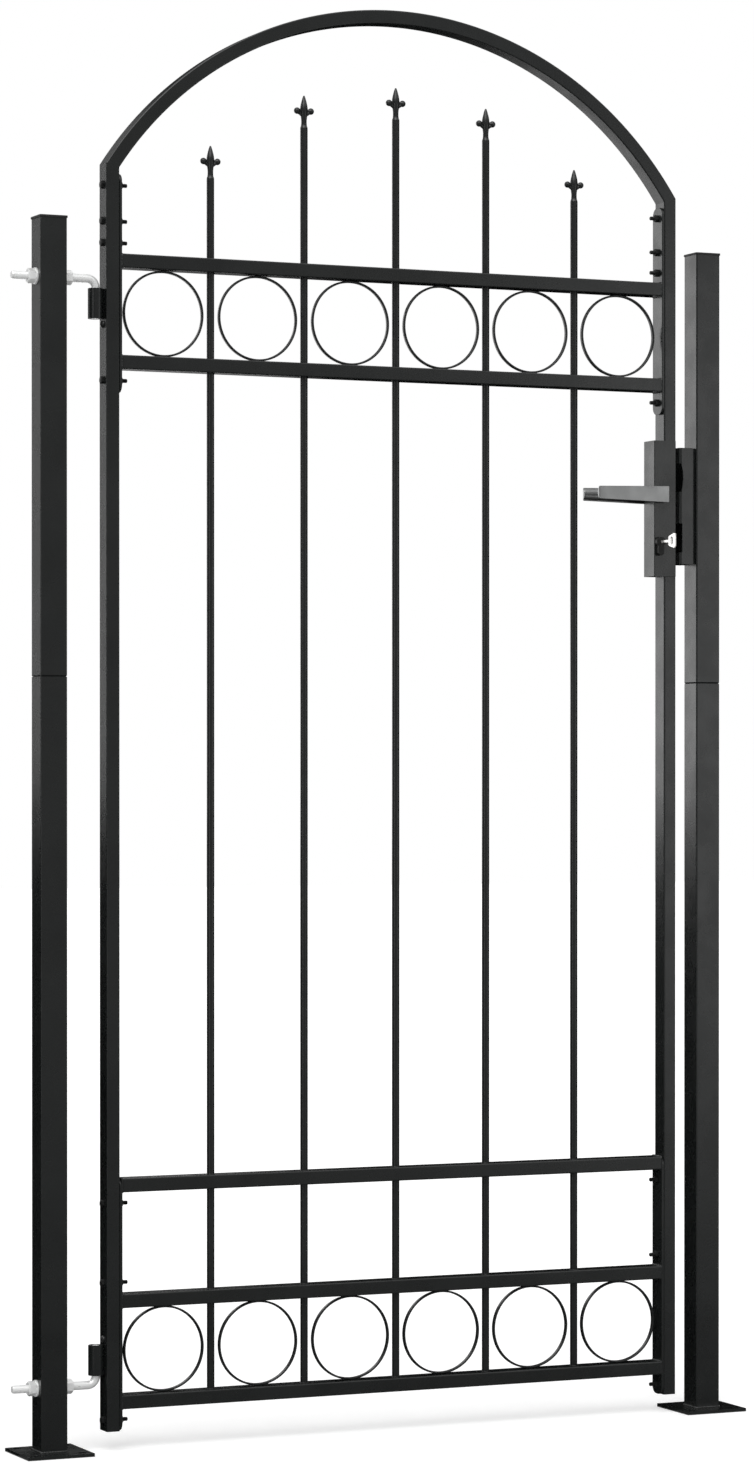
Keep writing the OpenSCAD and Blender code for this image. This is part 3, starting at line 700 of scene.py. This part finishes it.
def fixing_tree():
    """Sets a bolt, rivet or screw on each point, each turned by its own amount."""
    tree = Tree("set_fixings", takes_mesh=True)
    fixing = tree.size("Fixing", "NodeSocketObject")
    facing = tree.size("Facing")
    turn = tree.size("Most turn")
    seed = tree.size("Seed", "NodeSocketInt")
    picked = tree.node("FunctionNodeRandomValue", {"data_type": "FLOAT"}, Seed=seed)
    feed(tree.group, picked.inputs[3], turn)
    info = tree.node("GeometryNodeObjectInfo", Object=fixing)
    turned = tree.node("FunctionNodeEulerToRotation", Euler=tree.vector(picked.outputs[1], 0.0, facing))
    row = tree.node(
        "GeometryNodeInstanceOnPoints", Points=tree.mesh, Instance=info.outputs["Geometry"],
        Rotation=turned.outputs[0])
    return tree.end(row.outputs[0])


def weld_tree():
    """Runs a rippled weld bead along the drawn lines."""
    tree = Tree("weld_bead", takes_mesh=True)
    radius = tree.size("Bead radius")
    ripple = tree.size("Ripple pitch")
    swell = tree.size("Swell")
    wander = tree.size("Wander")
    step = tree.size("Step")
    line = tree.node("GeometryNodeMeshToCurve", Mesh=tree.mesh)
    even = tree.node("GeometryNodeResampleCurve", {"mode": "LENGTH"}, Curve=line.outputs[0], Length=step)
    gone = tree.node("GeometryNodeSplineParameter").outputs["Length"]
    beat = tree.sum("SINE", tree.sum("MULTIPLY", tree.sum("DIVIDE", gone, ripple), 2 * math.pi))
    size = tree.sum("MULTIPLY", radius, tree.sum("ADD", 1.0, tree.sum("MULTIPLY", beat, swell)))
    ring = tree.node("GeometryNodeCurvePrimitiveCircle", Resolution=8, Radius=1.0)
    sized = tree.node("GeometryNodeSetCurveRadius", Curve=even.outputs[0], Radius=size)
    bead = tree.node(
        "GeometryNodeCurveToMesh", Curve=sized.outputs[0], Profile_Curve=ring.outputs[0],
        Scale=tree.node("GeometryNodeInputRadius").outputs[0], Fill_Caps=True)
    noise = tree.node("ShaderNodeTexNoise", Scale=420.0, Detail=1.0)
    shift = tree.node(
        "ShaderNodeVectorMath", {"operation": "SUBTRACT"}, noise.outputs["Color"], (0.5, 0.5, 0.5))
    offset = tree.node("ShaderNodeVectorMath", {"operation": "SCALE"}, shift.outputs[0], Scale=wander)
    moved = tree.node("GeometryNodeSetPosition", Geometry=bead.outputs[0], Offset=offset.outputs[0])
    smooth = tree.node("GeometryNodeSetShadeSmooth", Geometry=moved.outputs[0])
    return tree.end(smooth.outputs[0])


THREAD = thread_tree()
ARCH = arch_tree()
RING_ROW = ring_tree()
FIXINGS = fixing_tree()
WELD = weld_tree()


# ---- Pieces that only need their edges rounded ----

RAILS = ["top_rail", "upper_ring_rail", "middle_rail", "lower_ring_rail", "bottom_rail"]
SOFT_EDGES = {
    0.4 * MM: ["hinge_post_lower", "hinge_post_upper", "latch_post_lower", "latch_post_upper"],
    0.8 * MM: ["hinge_post_base", "latch_post_base", "hinge_post_cap", "latch_post_cap"],
    0.25 * MM: [
        "hinge_stile", "lock_stile_upper", "lock_stile_lower", *RAILS,
        "lock_faceplate", "lock_bolts", "cylinder_plug",
    ],
    0.6 * MM: [
        "hinge_side_upper_flat", "hinge_side_lower_flat", "lock_side_upper_flat", "lock_side_lower_flat",
        "latch_keep", "lock_case", "upper_hinge_barrel", "lower_hinge_barrel", "lock_cylinder",
    ],
}
SEAM_H = 2.2 * MM
SEAM_DEPTH = 1.8 * MM


def chamfer_seam(post):
    """Chamfers the shoulder of the upper post, which shows as a dark line round the joint."""
    lower = post + "_lower"
    half = size_of(lower).x / 2
    rise = SEAM_H + MM * SEAM_H / SEAM_DEPTH
    section = [(-SEAM_DEPTH, -0.1 * MM), (-SEAM_DEPTH, 0), (MM, rise), (MM, -0.1 * MM)]
    loops = []
    for out, z in section:
        reach = half + out
        loops.append([(x, y, z) for x, y in rectangle(-reach, -reach, reach, reach)])
    band = skin("seam_band", loops, ring=True)
    move(band, Matrix.Translation((middle_of(lower).x, 0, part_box(lower)[1].z)))
    shade(combine(SCENE.objects[post + "_upper_softened"], band, "DIFFERENCE"))


# ---- Arch ----

TUBE_WALL = 1.5 * MM
TUBE_CORNER = 2.0 * MM
ARCH_STATIONS = 120


def tube_loop(share, width, depth, inset):
    """One loop of a tube's skin, inset from its outside, at a share of its length."""
    half_w = width / 2 - inset
    half_d = depth / 2 - inset
    outline = fillet(rectangle(-half_d, -half_w, half_d, half_w), TUBE_CORNER - inset, 6)
    return [(share, y, z + width / 2) for y, z in outline]


def arch():
    """The bent tube over the leaf, from mitre to mitre."""
    low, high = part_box("arch_top")
    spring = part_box("hinge_stile")[1].z
    width = size_of("hinge_stile").x
    half = (high.x - low.x) / 2
    rise = high.z - spring
    outer = (half ** 2 + rise ** 2) / (2 * rise)
    centre = high.z - outer
    cut = Vector((half - width, low.z - centre)) - Vector((half, spring - centre))
    across = Vector((cut.y, -cut.x)).normalized()
    distance = across.dot(Vector((half, spring - centre)))
    facing = math.atan2(across.y, across.x)
    shares = [i / ARCH_STATIONS for i in range(ARCH_STATIONS + 1)]
    depth = high.y - low.y
    loops = [tube_loop(share, width, depth, 0) for share in shares]
    loops += [tube_loop(share, width, depth, TUBE_WALL) for share in reversed(shares)]
    tube = skin("arch_tube", loops, ring=True)
    grow(
        ARCH, tube, BLACK, Middle=middle_of("arch_top").x, Centre_height=centre,
        Inner_radius=outer - width, Mitre_distance=distance, Mitre_facing=facing)
    stand_for(shade(tube), "arch_top")


# ---- Rings ----

STRIP_T = 3 * MM
STRIP_EDGE = 1.0 * MM
TACK_H = 0.5 * MM
TACK_HALF_L = 4.2 * MM
TACK_SHARE = 0.42  # a tack's half width, as a share of the strip's width
RING_COUNT = 6


def rings(node):
    """One row of rings between two rails."""
    length, wide, height = size_of(node)
    outside = height / 2 - TACK_H
    row = grow(
        RING_ROW, wire(node + "_row", []), BLACK,
        Middle_radius=outside - STRIP_T / 2, Strip_thickness=STRIP_T, Strip_width=wide,
        Strip_edge_radius=STRIP_EDGE, Rings=RING_COUNT, Pitch=(length - 2 * outside) / (RING_COUNT - 1),
        First_centre=(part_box(node)[0].x + outside, 0, middle_of(node).z), Tack_reach=outside,
        Tack_size=(TACK_HALF_L, TACK_H, wide * TACK_SHARE))
    stand_for(row, node)


# ---- Spear bars and points ----

BAR_CHAMFER = 0.8 * MM
SPEAR_H = 56 * MM
# Outlines of the point, as radius and height in millimetres; the neck's radii are shares of the bar's
NECK = [(1.0, 0), (1.0, 7), (0.97, 9), (0.8, 12)]
BODY = [
    (4.1, 16), (4.2, 21), (5.0, 27), (5.7, 33), (5.5, 38), (4.8, 42.5), (3.7, 47), (2.5, 51.5), (1.1, 55.6)]
LOBE_AT = 33.4 * MM
LOBE_L = 15.6 * MM
LOBE = [(2.6, 0), (2.5, 5.6), (3.4, 7.6), (4.6, 9.6), (4.75, 11.2), (4.2, 13.2), (2.6, 14.9), (0.5, 15.5)]
ARM_AT = 24.5 * MM
ARM_L = 14.7 * MM
ARM = [(2.2, 0), (2.3, 5), (2.6, 9), (2.6, 12), (1.4, 14.5)]
ARM_LEAN = math.radians(50)
CURVE_STEPS = 4
BARS = [f"spear_bar_{number}" for number in range(1, 6)]


def spear_bar(node):
    """A plain round bar from inside the bottom rail up to its point."""
    low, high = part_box(node)
    radius = size_of(node).x / 2
    foot = [(0, low.z), (radius - BAR_CHAMFER, low.z), (radius, low.z + BAR_CHAMFER)]
    bar = lathe(node + "_rod", foot + [(radius, high.z), (0, high.z)])
    move(bar, Matrix.Translation((middle_of(node).x, 0, 0)))
    stand_for(shade(bar), node)


def smooth_through(stations):
    """Points on a smooth curve through stations of radius and height in millimetres."""
    stations = [Vector((radius * MM, height * MM)) for radius, height in stations]
    found = []
    for i in range(len(stations) - 1):
        before = stations[max(i - 1, 0)]
        start = stations[i]
        end = stations[i + 1]
        after = stations[min(i + 2, len(stations) - 1)]
        for k in range(CURVE_STEPS):
            t = k / CURVE_STEPS
            pull = (end - before) * 0.5
            push = (after - start) * 0.5
            point = start * (2 * t ** 3 - 3 * t ** 2 + 1) + pull * (t ** 3 - 2 * t ** 2 + t)
            point += end * (3 * t ** 2 - 2 * t ** 3) + push * (t ** 3 - t ** 2)
            found.append((max(point.x, 0), point.y))
    return found + [tuple(stations[-1])]


def round_casting(name, stations, end, sides):
    """A smooth round piece through the stations, closed on its axis at 0 and at its end."""
    return lathe(name, [(0, 0)] + smooth_through(stations) + [(0, end)], sides)


def spear_point():
    """One cast point, its foot at the origin: neck, body, two side lobes on arms, and a blade."""
    bar_r = size_of(BARS[0]).x / 2 / MM
    neck = [(bar_r * share, height) for share, height in NECK]
    point = round_casting("spear_point", neck + BODY, SPEAR_H, 40)
    for side in (-1, 1):
        lobe = round_casting("lobe", LOBE, LOBE_L, 28)
        move(lobe, raised(LOBE_AT) @ Matrix.Rotation(side * math.pi / 2, 4, "Y"))
        combine(point, lobe, "UNION")
        arm = round_casting("arm", ARM, ARM_L, 28)
        move(arm, raised(ARM_AT) @ Matrix.Rotation(side * ARM_LEAN, 4, "Y"))
        combine(point, arm, "UNION")
    return point


def spear_points():
    """The same cast point on every bar."""
    places = [(middle_of(node).x, 0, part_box(node)[1].z) for node in BARS]
    row = set_on("spear_point_castings", spear_point(), places, BLACK)
    stand_for(shade(row), "spear_points")


# ---- Hinge bolts, nuts and washers ----

THREAD_PITCH = 1.75 * MM
THREAD_DEPTH = 0.95 * MM
THREAD_L = 40 * MM
ROWS_A_TURN = 8
ROD_SIDES = 32
ROD_CHAMFER = 1.2 * MM
BEND_R = 12.5 * MM
BEND_STEPS = 14
NUT_AF = 19 * MM
NUT_RIM = 0.96  # where a nut's chamfer starts, as a share of its half width
NUT_SINK = 0.6 * MM
NUT_EDGE = 0.25 * MM
NUT_ROOM = 0.05 * MM
WASHER_R = 12 * MM
WASHER_T = 2.5 * MM
WASHER_SOFT = 0.35 * MM
WASHER_ROOM = 0.4 * MM
HEX = 6
HEX_CHAMFER = math.radians(30)
HEX_PAST_CORNER = 1.05


def hinge_bolt(node, up):
    """A bent, threaded rod: tail along X, a quarter bend, and the upright pin."""
    low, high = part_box(node)
    radius = (high.y - low.y) / 2
    axis = low.z + radius if up > 0 else high.z - radius
    pin_x = high.x - radius
    height = high.z - low.z - radius
    straight = pin_x - BEND_R - low.x
    quarter = BEND_R * math.pi / 2
    total = straight + quarter + height - BEND_R
    rows = int(THREAD_L / THREAD_PITCH * ROWS_A_TURN)
    gone = [ROD_CHAMFER + (THREAD_L - ROD_CHAMFER) * i / rows for i in range(rows + 1)]
    gone += [straight + quarter * i / BEND_STEPS for i in range(BEND_STEPS + 1)]
    stations = [(0, 0), (0, radius - ROD_CHAMFER)] + [(s, radius) for s in gone]
    stations += [(total - ROD_CHAMFER, radius), (total, radius - ROD_CHAMFER), (total, 0)]
    loops = []
    for s, r in stations:
        turn = min(max(s - straight, 0), quarter) / BEND_R
        x = low.x + min(s, straight) + BEND_R * math.sin(turn)
        z = BEND_R * (1 - math.cos(turn)) + max(s - straight - quarter, 0)
        centre = Vector((x, 0, axis + up * z))
        across = Vector((-math.sin(turn), 0, up * math.cos(turn)))
        turns = [2 * math.pi * i / ROD_SIDES for i in range(ROD_SIDES)] if r else [0]
        loops.append([centre + (Vector((0, math.cos(a), 0)) + across * math.sin(a)) * r for a in turns])
    rod = skin(node + "_rod", loops)
    grow(
        THREAD, rod, "zinc_plate", Axis_height=axis, Pitch=THREAD_PITCH, Depth=THREAD_DEPTH,
        Start=low.x + MM, Stop=low.x + THREAD_L)
    stand_for(shade(rod), node)


def hexagon(name, across, height, rim_share, foot_too):
    """A hexagon block standing on Z = 0, its top chamfered, and its foot too where it shows."""
    corner = across / 2 / math.cos(math.pi / HEX)
    block = prism(name, [point[:2] for point in circle(corner, 0, HEX)], height)
    rim = across / 2 * rim_share
    wide = corner * HEX_PAST_CORNER
    drop = (wide - rim) * math.tan(HEX_CHAMFER)
    foot = [(0, 0), (rim, 0), (wide, drop)] if foot_too else [(0, -MM), (wide, -MM)]
    outline = [*foot, (wide, height - drop), (rim, height), (0, height)]
    return combine(block, lathe("chamfer", outline), "INTERSECT")


def hex_nut(name, across, height, bore):
    """A hexagon nut standing on Z = 0, with both faces chamfered and its bore countersunk."""
    nut = hexagon(name, across, height, NUT_RIM, True)
    sunk = bore + NUT_SINK
    hole = [
        (0, -MM), (sunk, -MM), (sunk, 0), (bore, NUT_SINK), (bore, height - NUT_SINK),
        (sunk, height), (sunk, height + MM), (0, height + MM)]
    return combine(nut, lathe("bore", hole), "DIFFERENCE")


def hinge_nuts(node):
    """A nut and a washer on each side of the hinge post."""
    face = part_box("hinge_post_lower")[1].x
    bore = size_of(node.replace("nuts", "bolt")).y / 2 + NUT_ROOM
    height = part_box(node)[1].x - WASHER_T - face
    pieces = []
    for side in (0, math.pi):
        around = raised(middle_of(node).z) @ Matrix.Rotation(side, 4, "Z") @ ALONG_X
        outline = fillet(rectangle(bore + WASHER_ROOM, 0, WASHER_R, WASHER_T), WASHER_SOFT, 2)
        pieces.append(move(lathe("washer", outline, 56, ring=True), around @ raised(face)))
        nut = round_edges(hex_nut("nut", NUT_AF, height, bore), NUT_EDGE)
        pieces.append(move(nut, around @ raised(face + WASHER_T)))
    stand_for(shade(join(node + "_and_washers", pieces)), node)


# ---- Panel bolts and rivets ----

OVER_LOWER_FOOT = [15 * MM, 212 * MM, 326 * MM]  # bolts in the lower flats
UNDER_UPPER_TOP = [295.5 * MM, 98.5 * MM, 67.5 * MM, 16 * MM]  # bolts in the upper flats
M6_R = 3 * MM
M6_PITCH = 1.0 * MM
M6_DEPTH = 0.5 * MM
M6_AF = 10 * MM
M6_HEAD_H = 4 * MM
M6_NUT_H = 5 * MM
M6_BORE_R = 2.91 * MM
M6_HEAD_RIM = 0.94
M6_INTO_HEAD = 1.5 * MM
M6_PAST_FLAT = 12.5 * MM
M6_EDGE = 0.2 * MM
M6_TIP_CHAMFER = 0.6 * MM
RIVET_R = 5.4 * MM
RIVET_H = 4.4 * MM
RIVET_OFF = 7.2 * MM
RIVET_STEPS = 8


def bolt_shank(grip):
    """The plain and threaded shank of a panel bolt, along X from its head at X = 0."""
    end = grip + M6_PAST_FLAT
    thread_from = grip + M6_NUT_H / 2
    rows = int((end - thread_from) / M6_PITCH * ROWS_A_TURN)
    full = end - M6_TIP_CHAMFER - thread_from
    outline = [(0, -M6_INTO_HEAD), (M6_R, -M6_INTO_HEAD)]
    outline += [(M6_R, thread_from + full * i / rows) for i in range(rows + 1)]
    outline += [(M6_R - M6_TIP_CHAMFER, end), (0, end)]
    shank = move(lathe("shank", outline, 20), ALONG_X)
    grow(
        THREAD, shank, "blackened_steel", Axis_height=0.0, Pitch=M6_PITCH, Depth=M6_DEPTH,
        Start=thread_from, Stop=end - 0.2 * MM)
    return shank


def bolt_with_nut(grip):
    """A hexagon bolt along X: head on the stile at X = 0, nut on the flat at X = grip."""
    shank = bolt_shank(grip)
    head = round_edges(hexagon("head", M6_AF, M6_HEAD_H, M6_HEAD_RIM, False), M6_EDGE)
    move(head, AGAINST_X)
    nut = round_edges(hex_nut("nut", M6_AF, M6_NUT_H, M6_BORE_R), M6_EDGE)
    move(nut, Matrix.Translation((grip, 0, 0)) @ ALONG_X)
    return shade(join("panel_bolt", [shank, head, nut]))


def panel_bolts():
    """Bolts through the stiles and the flats of the panel, their nuts inside."""
    sides = {
        "hinge_side": (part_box("hinge_stile")[0].x, 0.0),
        "lock_side": (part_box("lock_stile_lower")[1].x, math.pi),
    }
    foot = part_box("hinge_side_lower_flat")[0].z
    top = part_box("hinge_side_upper_flat")[1].z
    heights = [foot + rise for rise in OVER_LOWER_FOOT] + [top - drop for drop in UNDER_UPPER_TOP]
    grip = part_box("hinge_side_upper_flat")[1].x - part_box("hinge_stile")[0].x
    for seed, (side, (x, facing)) in enumerate(sides.items(), start=3):
        places = [(x, 0, z) for z in heights]
        row = set_on(
            side + "_panel_bolts", bolt_with_nut(grip), places, "blackened_steel", facing,
            2 * math.pi / HEX, seed)
        fit(row, "leaf", "blackened_steel")


def rivets():
    """A domed rivet in the hinge stile beside each barrel."""
    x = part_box("hinge_stile")[0].x
    places = [
        (x, 0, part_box("upper_hinge_barrel")[0].z - RIVET_OFF),
        (x, 0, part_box("lower_hinge_barrel")[1].z + RIVET_OFF)]
    turns = [math.pi / 2 * i / RIVET_STEPS for i in range(RIVET_STEPS)]
    dome = [(RIVET_R * math.cos(turn), RIVET_H * math.sin(turn)) for turn in turns]
    one = lathe("rivet", [(0, -MM), (RIVET_R, -MM)] + dome + [(0, RIVET_H)], 40)
    move(one, AGAINST_X)
    row = set_on("hinge_stile_rivets", one, places, BLACK, most_turn=1.0, seed=5)
    fit(shade(row), "leaf", BLACK)


# ---- Weld beads ----

WELD_CORNER = 2 * MM
RAIL_WELD_R = 1.6 * MM
BAR_WELD_R = 0.75 * MM
FOOT_WELD_R = 2.4 * MM
RAIL_WELD_IN = (0.9 * MM, 0.3 * MM)  # how far the bead's middle lies inside the rail, in Y and Z
FOOT_WELD_IN = 0.4 * MM
BEAD = dict(Ripple_pitch=1.9 * MM, Swell=0.13, Wander=0.5 * MM, Step=0.55 * MM)


def closed_line(points):
    return points, [(i, (i + 1) % len(points)) for i in range(len(points))]


def weld(name, body, lines, radius, **changes):
    """One piece of weld beads along several lines."""
    points = []
    edges = []
    for line, joins in lines:
        edges += [(a + len(points), b + len(points)) for a, b in joins]
        points += [tuple(point) for point in line]
    bead = grow(
        WELD, wire(name, points, edges), BLACK, Bead_radius=radius, **{**BEAD, **changes})
    fit(bead, body, BLACK)


def box_line(centre, half_a, half_b, axis):
    """A rounded rectangle round an axis, 0 for X and 2 for Z."""
    flat = fillet(rectangle(-half_a, -half_b, half_a, half_b), WELD_CORNER)
    round_it = [(0, a, b) if axis == 0 else (a, b, 0) for a, b in flat]
    return closed_line([Vector(centre) + Vector(point) for point in round_it])


def welds():
    """Beads where rails meet stiles, where bars pass rails, and round the posts' feet."""
    rail_ends = []
    bar_seams = []
    for node in RAILS:
        low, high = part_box(node)
        depth, height = size_of(node).yz
        half_y = depth / 2 - RAIL_WELD_IN[0]
        half_z = height / 2 - RAIL_WELD_IN[1]
        for x in (low.x, high.x):
            rail_ends.append(box_line((x, 0, middle_of(node).z), half_y, half_z, 0))
        for bar in BARS:
            round_bar = [Vector(point) for point in circle(size_of(bar).x / 2, 0, 24)]
            for z in ([high.z] if node == "bottom_rail" else [low.z, high.z]):
                there = Vector((middle_of(bar).x, 0, z))
                bar_seams.append(closed_line([there + point for point in round_bar]))
    weld("rail_end_welds", "leaf", rail_ends, RAIL_WELD_R)
    weld("bar_welds", "leaf", bar_seams, BAR_WELD_R, Step=1.1 * MM, Wander=0.3 * MM)
    feet = []
    for node in ("hinge_post_lower", "latch_post_lower"):
        half = size_of(node).x / 2 - FOOT_WELD_IN
        feet.append(box_line((middle_of(node).x, 0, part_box(node)[0].z), half, half, 2))
    weld("post_foot_welds", "posts", feet, FOOT_WELD_R, Ripple_pitch=2.4 * MM)


# ---- Levers ----

LEVER_ROOT_H = 25 * MM
LEVER_TIP_H = 19.5 * MM
LEVER_T = 6.5 * MM
LEVER_RIM_T = 2.2 * MM
LEVER_CORNER = 0.9 * MM
LEVER_STEPS = 10
# How an end rounds over, from its tip: how far along, and how far in from the full section
LEVER_END = [(0, 1.28 * MM), (0.4 * MM, 0.576 * MM), (0.96 * MM, 0.1536 * MM), (1.6 * MM, 0)]
LEVER_CORE = 0.55  # the depth that the ends close round, as a share of the thickness
LEVER_THINNING = 1.4  # how much more they close in depth than in height
RIB_INSET = 2.4 * MM
RIB_STEPS = 14
RIB_FLATNESS = 0.8
BOSS_R = 9 * MM
BOSS_TOP_R = 7.2 * MM
BOSS_CHAMFER = 0.5 * MM
BOSS_ROOM = 0.5 * MM  # between the boss and the lock case
BOSS_STRAIGHT = 1.0 * MM  # how far the boss runs on inside the lever, before it narrows
BOSS_INTO_LEVER = 3.2 * MM


def lever_section(half):
    """The lever's section, across (from its inner to its outer face) and up."""
    rim = LEVER_T - LEVER_RIM_T
    outside = fillet(rectangle(rim, -half, LEVER_T, half), LEVER_CORNER)
    rib = []
    for i in range(1, RIB_STEPS):
        turn = math.pi * i / RIB_STEPS
        out = rim * math.sin(turn) ** RIB_FLATNESS
        rib.append(Vector((rim - out, (half - RIB_INSET) * math.cos(turn))))
    root = half - RIB_INSET * 0.8
    return [*outside, Vector((rim, root)), *rib, Vector((rim, -root))]


def lever(node, side):
    """A cast lever: flat outer plate with a thin rim, and a rounded rib behind it."""
    low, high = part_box(node)
    middle = middle_of(node).z
    inner = (high.y if side > 0 else -low.y) - LEVER_T
    length = high.x - low.x
    stations = [(low.x + along, inset) for along, inset in LEVER_END]
    stations += [(low.x + length * i / LEVER_STEPS, 0) for i in range(1, LEVER_STEPS)]
    stations += [(high.x - along, inset) for along, inset in reversed(LEVER_END)]
    core = LEVER_T * LEVER_CORE
    loops = []
    for x, inset in stations:
        half = (LEVER_TIP_H + (LEVER_ROOT_H - LEVER_TIP_H) * (x - low.x) / length) / 2
        tall = 1 - inset / half
        deep = 1 - LEVER_THINNING * inset / LEVER_T
        loops.append([
            (x, side * (inner + core + (across - core) * deep), middle + up * tall)
            for across, up in lever_section(half)])
    plate = skin(node + "_lever", loops)
    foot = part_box("lock_case")[1].y + BOSS_ROOM
    reach = inner - foot
    boss = lathe("boss", [
        (0, 0), (BOSS_R - BOSS_CHAMFER, 0), (BOSS_R, BOSS_CHAMFER), (BOSS_R, reach + BOSS_STRAIGHT),
        (BOSS_TOP_R, reach + BOSS_INTO_LEVER), (0, reach + BOSS_INTO_LEVER)], 40)
    outwards = Matrix.Rotation(-side * math.pi / 2, 4, "X")
    move(boss, Matrix.Translation((middle_of("handle_spindle").x, side * foot, middle)) @ outwards)
    stand_for(shade(combine(plate, boss, "UNION")), node)


# ---- Key ----

KEY_T = 2.2 * MM
KEY_EDGE = 0.35 * MM
CUT_HALF_L = 1.2 * MM
BOW_L = 20 * MM
BOW_FREE_HALF = 12 * MM
BOW_NECK_HALF = 7 * MM
BOW_R = 3 * MM
BOW_SLOT = (7 * MM, 13 * MM)
BLADE_INTO_BOW = 2 * MM
BLADE_BOW_HALF = 2 * MM
BLADE_TIP_HALF = 1.3 * MM
BLADE_CUTS = [(26, 0.5), (31, 0.8), (36, 0.4), (41, 0.7)]  # millimetres from the bow's end, and deep


def key():
    """A flat key: wide bow with a slot, and a blade that narrows towards the plug."""
    low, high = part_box("key")
    free = low.y
    neck = low.y + BOW_L
    bow = [(free, -BOW_FREE_HALF), (neck, -BOW_NECK_HALF), (neck, BOW_NECK_HALF), (free, BOW_FREE_HALF)]
    piece = prism("key_flat", fillet(bow, BOW_R, 8), KEY_T)
    root = neck - BLADE_INTO_BOW
    blade = [(root, -BLADE_BOW_HALF), (high.y, -BLADE_TIP_HALF), (high.y, BLADE_TIP_HALF)]
    for from_bow, depth in reversed(BLADE_CUTS):
        y = free + from_bow * MM
        share = (y - neck) / (high.y - neck)
        top = BLADE_BOW_HALF + (BLADE_TIP_HALF - BLADE_BOW_HALF) * share
        blade += [(y + CUT_HALF_L, top), (y, top - depth * MM), (y - CUT_HALF_L, top)]
    blade.append((root, BLADE_BOW_HALF))
    combine(piece, prism("blade", blade, KEY_T), "UNION")
    wide, tall = BOW_SLOT
    start = free + (BOW_L - wide) / 2
    slot = rectangle(start, -tall / 2, start + wide, tall / 2)
    cutter = prism("slot", fillet(slot, wide / 2 - 0.02 * MM, 8), KEY_T + 2 * MM)
    combine(piece, move(cutter, raised(-MM)), "DIFFERENCE")
    round_edges(piece, KEY_EDGE)
    middle = middle_of("key").z
    move(piece, Matrix(((0, 0, 1, low.x), (1, 0, 0, 0), (0, 1, 0, middle), (0, 0, 0, 1))))
    stand_for(shade(piece), "key")


# ---- Faceplate screws ----

SCREW_HEAD = [(0, -2), (2.3, -2), (3.9, -0.25), (3.9, 0), (3.6, 0.15), (0, 0.25)]  # radius and height, mm
CROSS_HALF_L = 2 * MM
CROSS_HALF_W = 0.35 * MM
CROSS_DEPTH = 0.9 * MM
SCREW_INSET = 8 * MM


def faceplate_screws():
    """A countersunk cross-head screw near each end of the faceplate."""
    low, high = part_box("lock_faceplate")
    one = lathe("screw", [(radius * MM, height * MM) for radius, height in SCREW_HEAD], 32)
    arm = rectangle(-CROSS_HALF_L, -CROSS_HALF_W, CROSS_HALF_L, CROSS_HALF_W)
    for turn in (0, math.pi / 2):
        bar = move(prism("cross", arm, 3 * MM), raised(-CROSS_DEPTH) @ Matrix.Rotation(turn, 4, "Z"))
        combine(one, bar, "DIFFERENCE")
    move(one, ALONG_X)
    places = [(high.x, 0, low.z + SCREW_INSET), (high.x, 0, high.z - SCREW_INSET)]
    row = set_on("faceplate_screws", one, places, "lock_steel", most_turn=1.5, seed=8)
    fit(shade(row), "leaf", "lock_steel")


# ---- The gate ----

add_camera()
add_world()
add_floor()
add_sun()
add_cards()

for name, node in NODES.items():
    paint(node, FINISHES[SLOT_OF[name]])

for width, nodes in SOFT_EDGES.items():
    for name in nodes:
        soften(name, width)
chamfer_seam("hinge_post")
chamfer_seam("latch_post")
arch()
rings("upper_rings")
rings("lower_rings")
for name in BARS:
    spear_bar(name)
spear_points()
hinge_bolt("upper_hinge_bolt", -1)
hinge_bolt("lower_hinge_bolt", 1)
hinge_nuts("upper_hinge_nuts")
hinge_nuts("lower_hinge_nuts")
panel_bolts()
rivets()
welds()
lever("front_handle", -1)
lever("rear_handle", 1)
key()
faceplate_screws()

SCENE.view_settings.view_transform = "Standard"
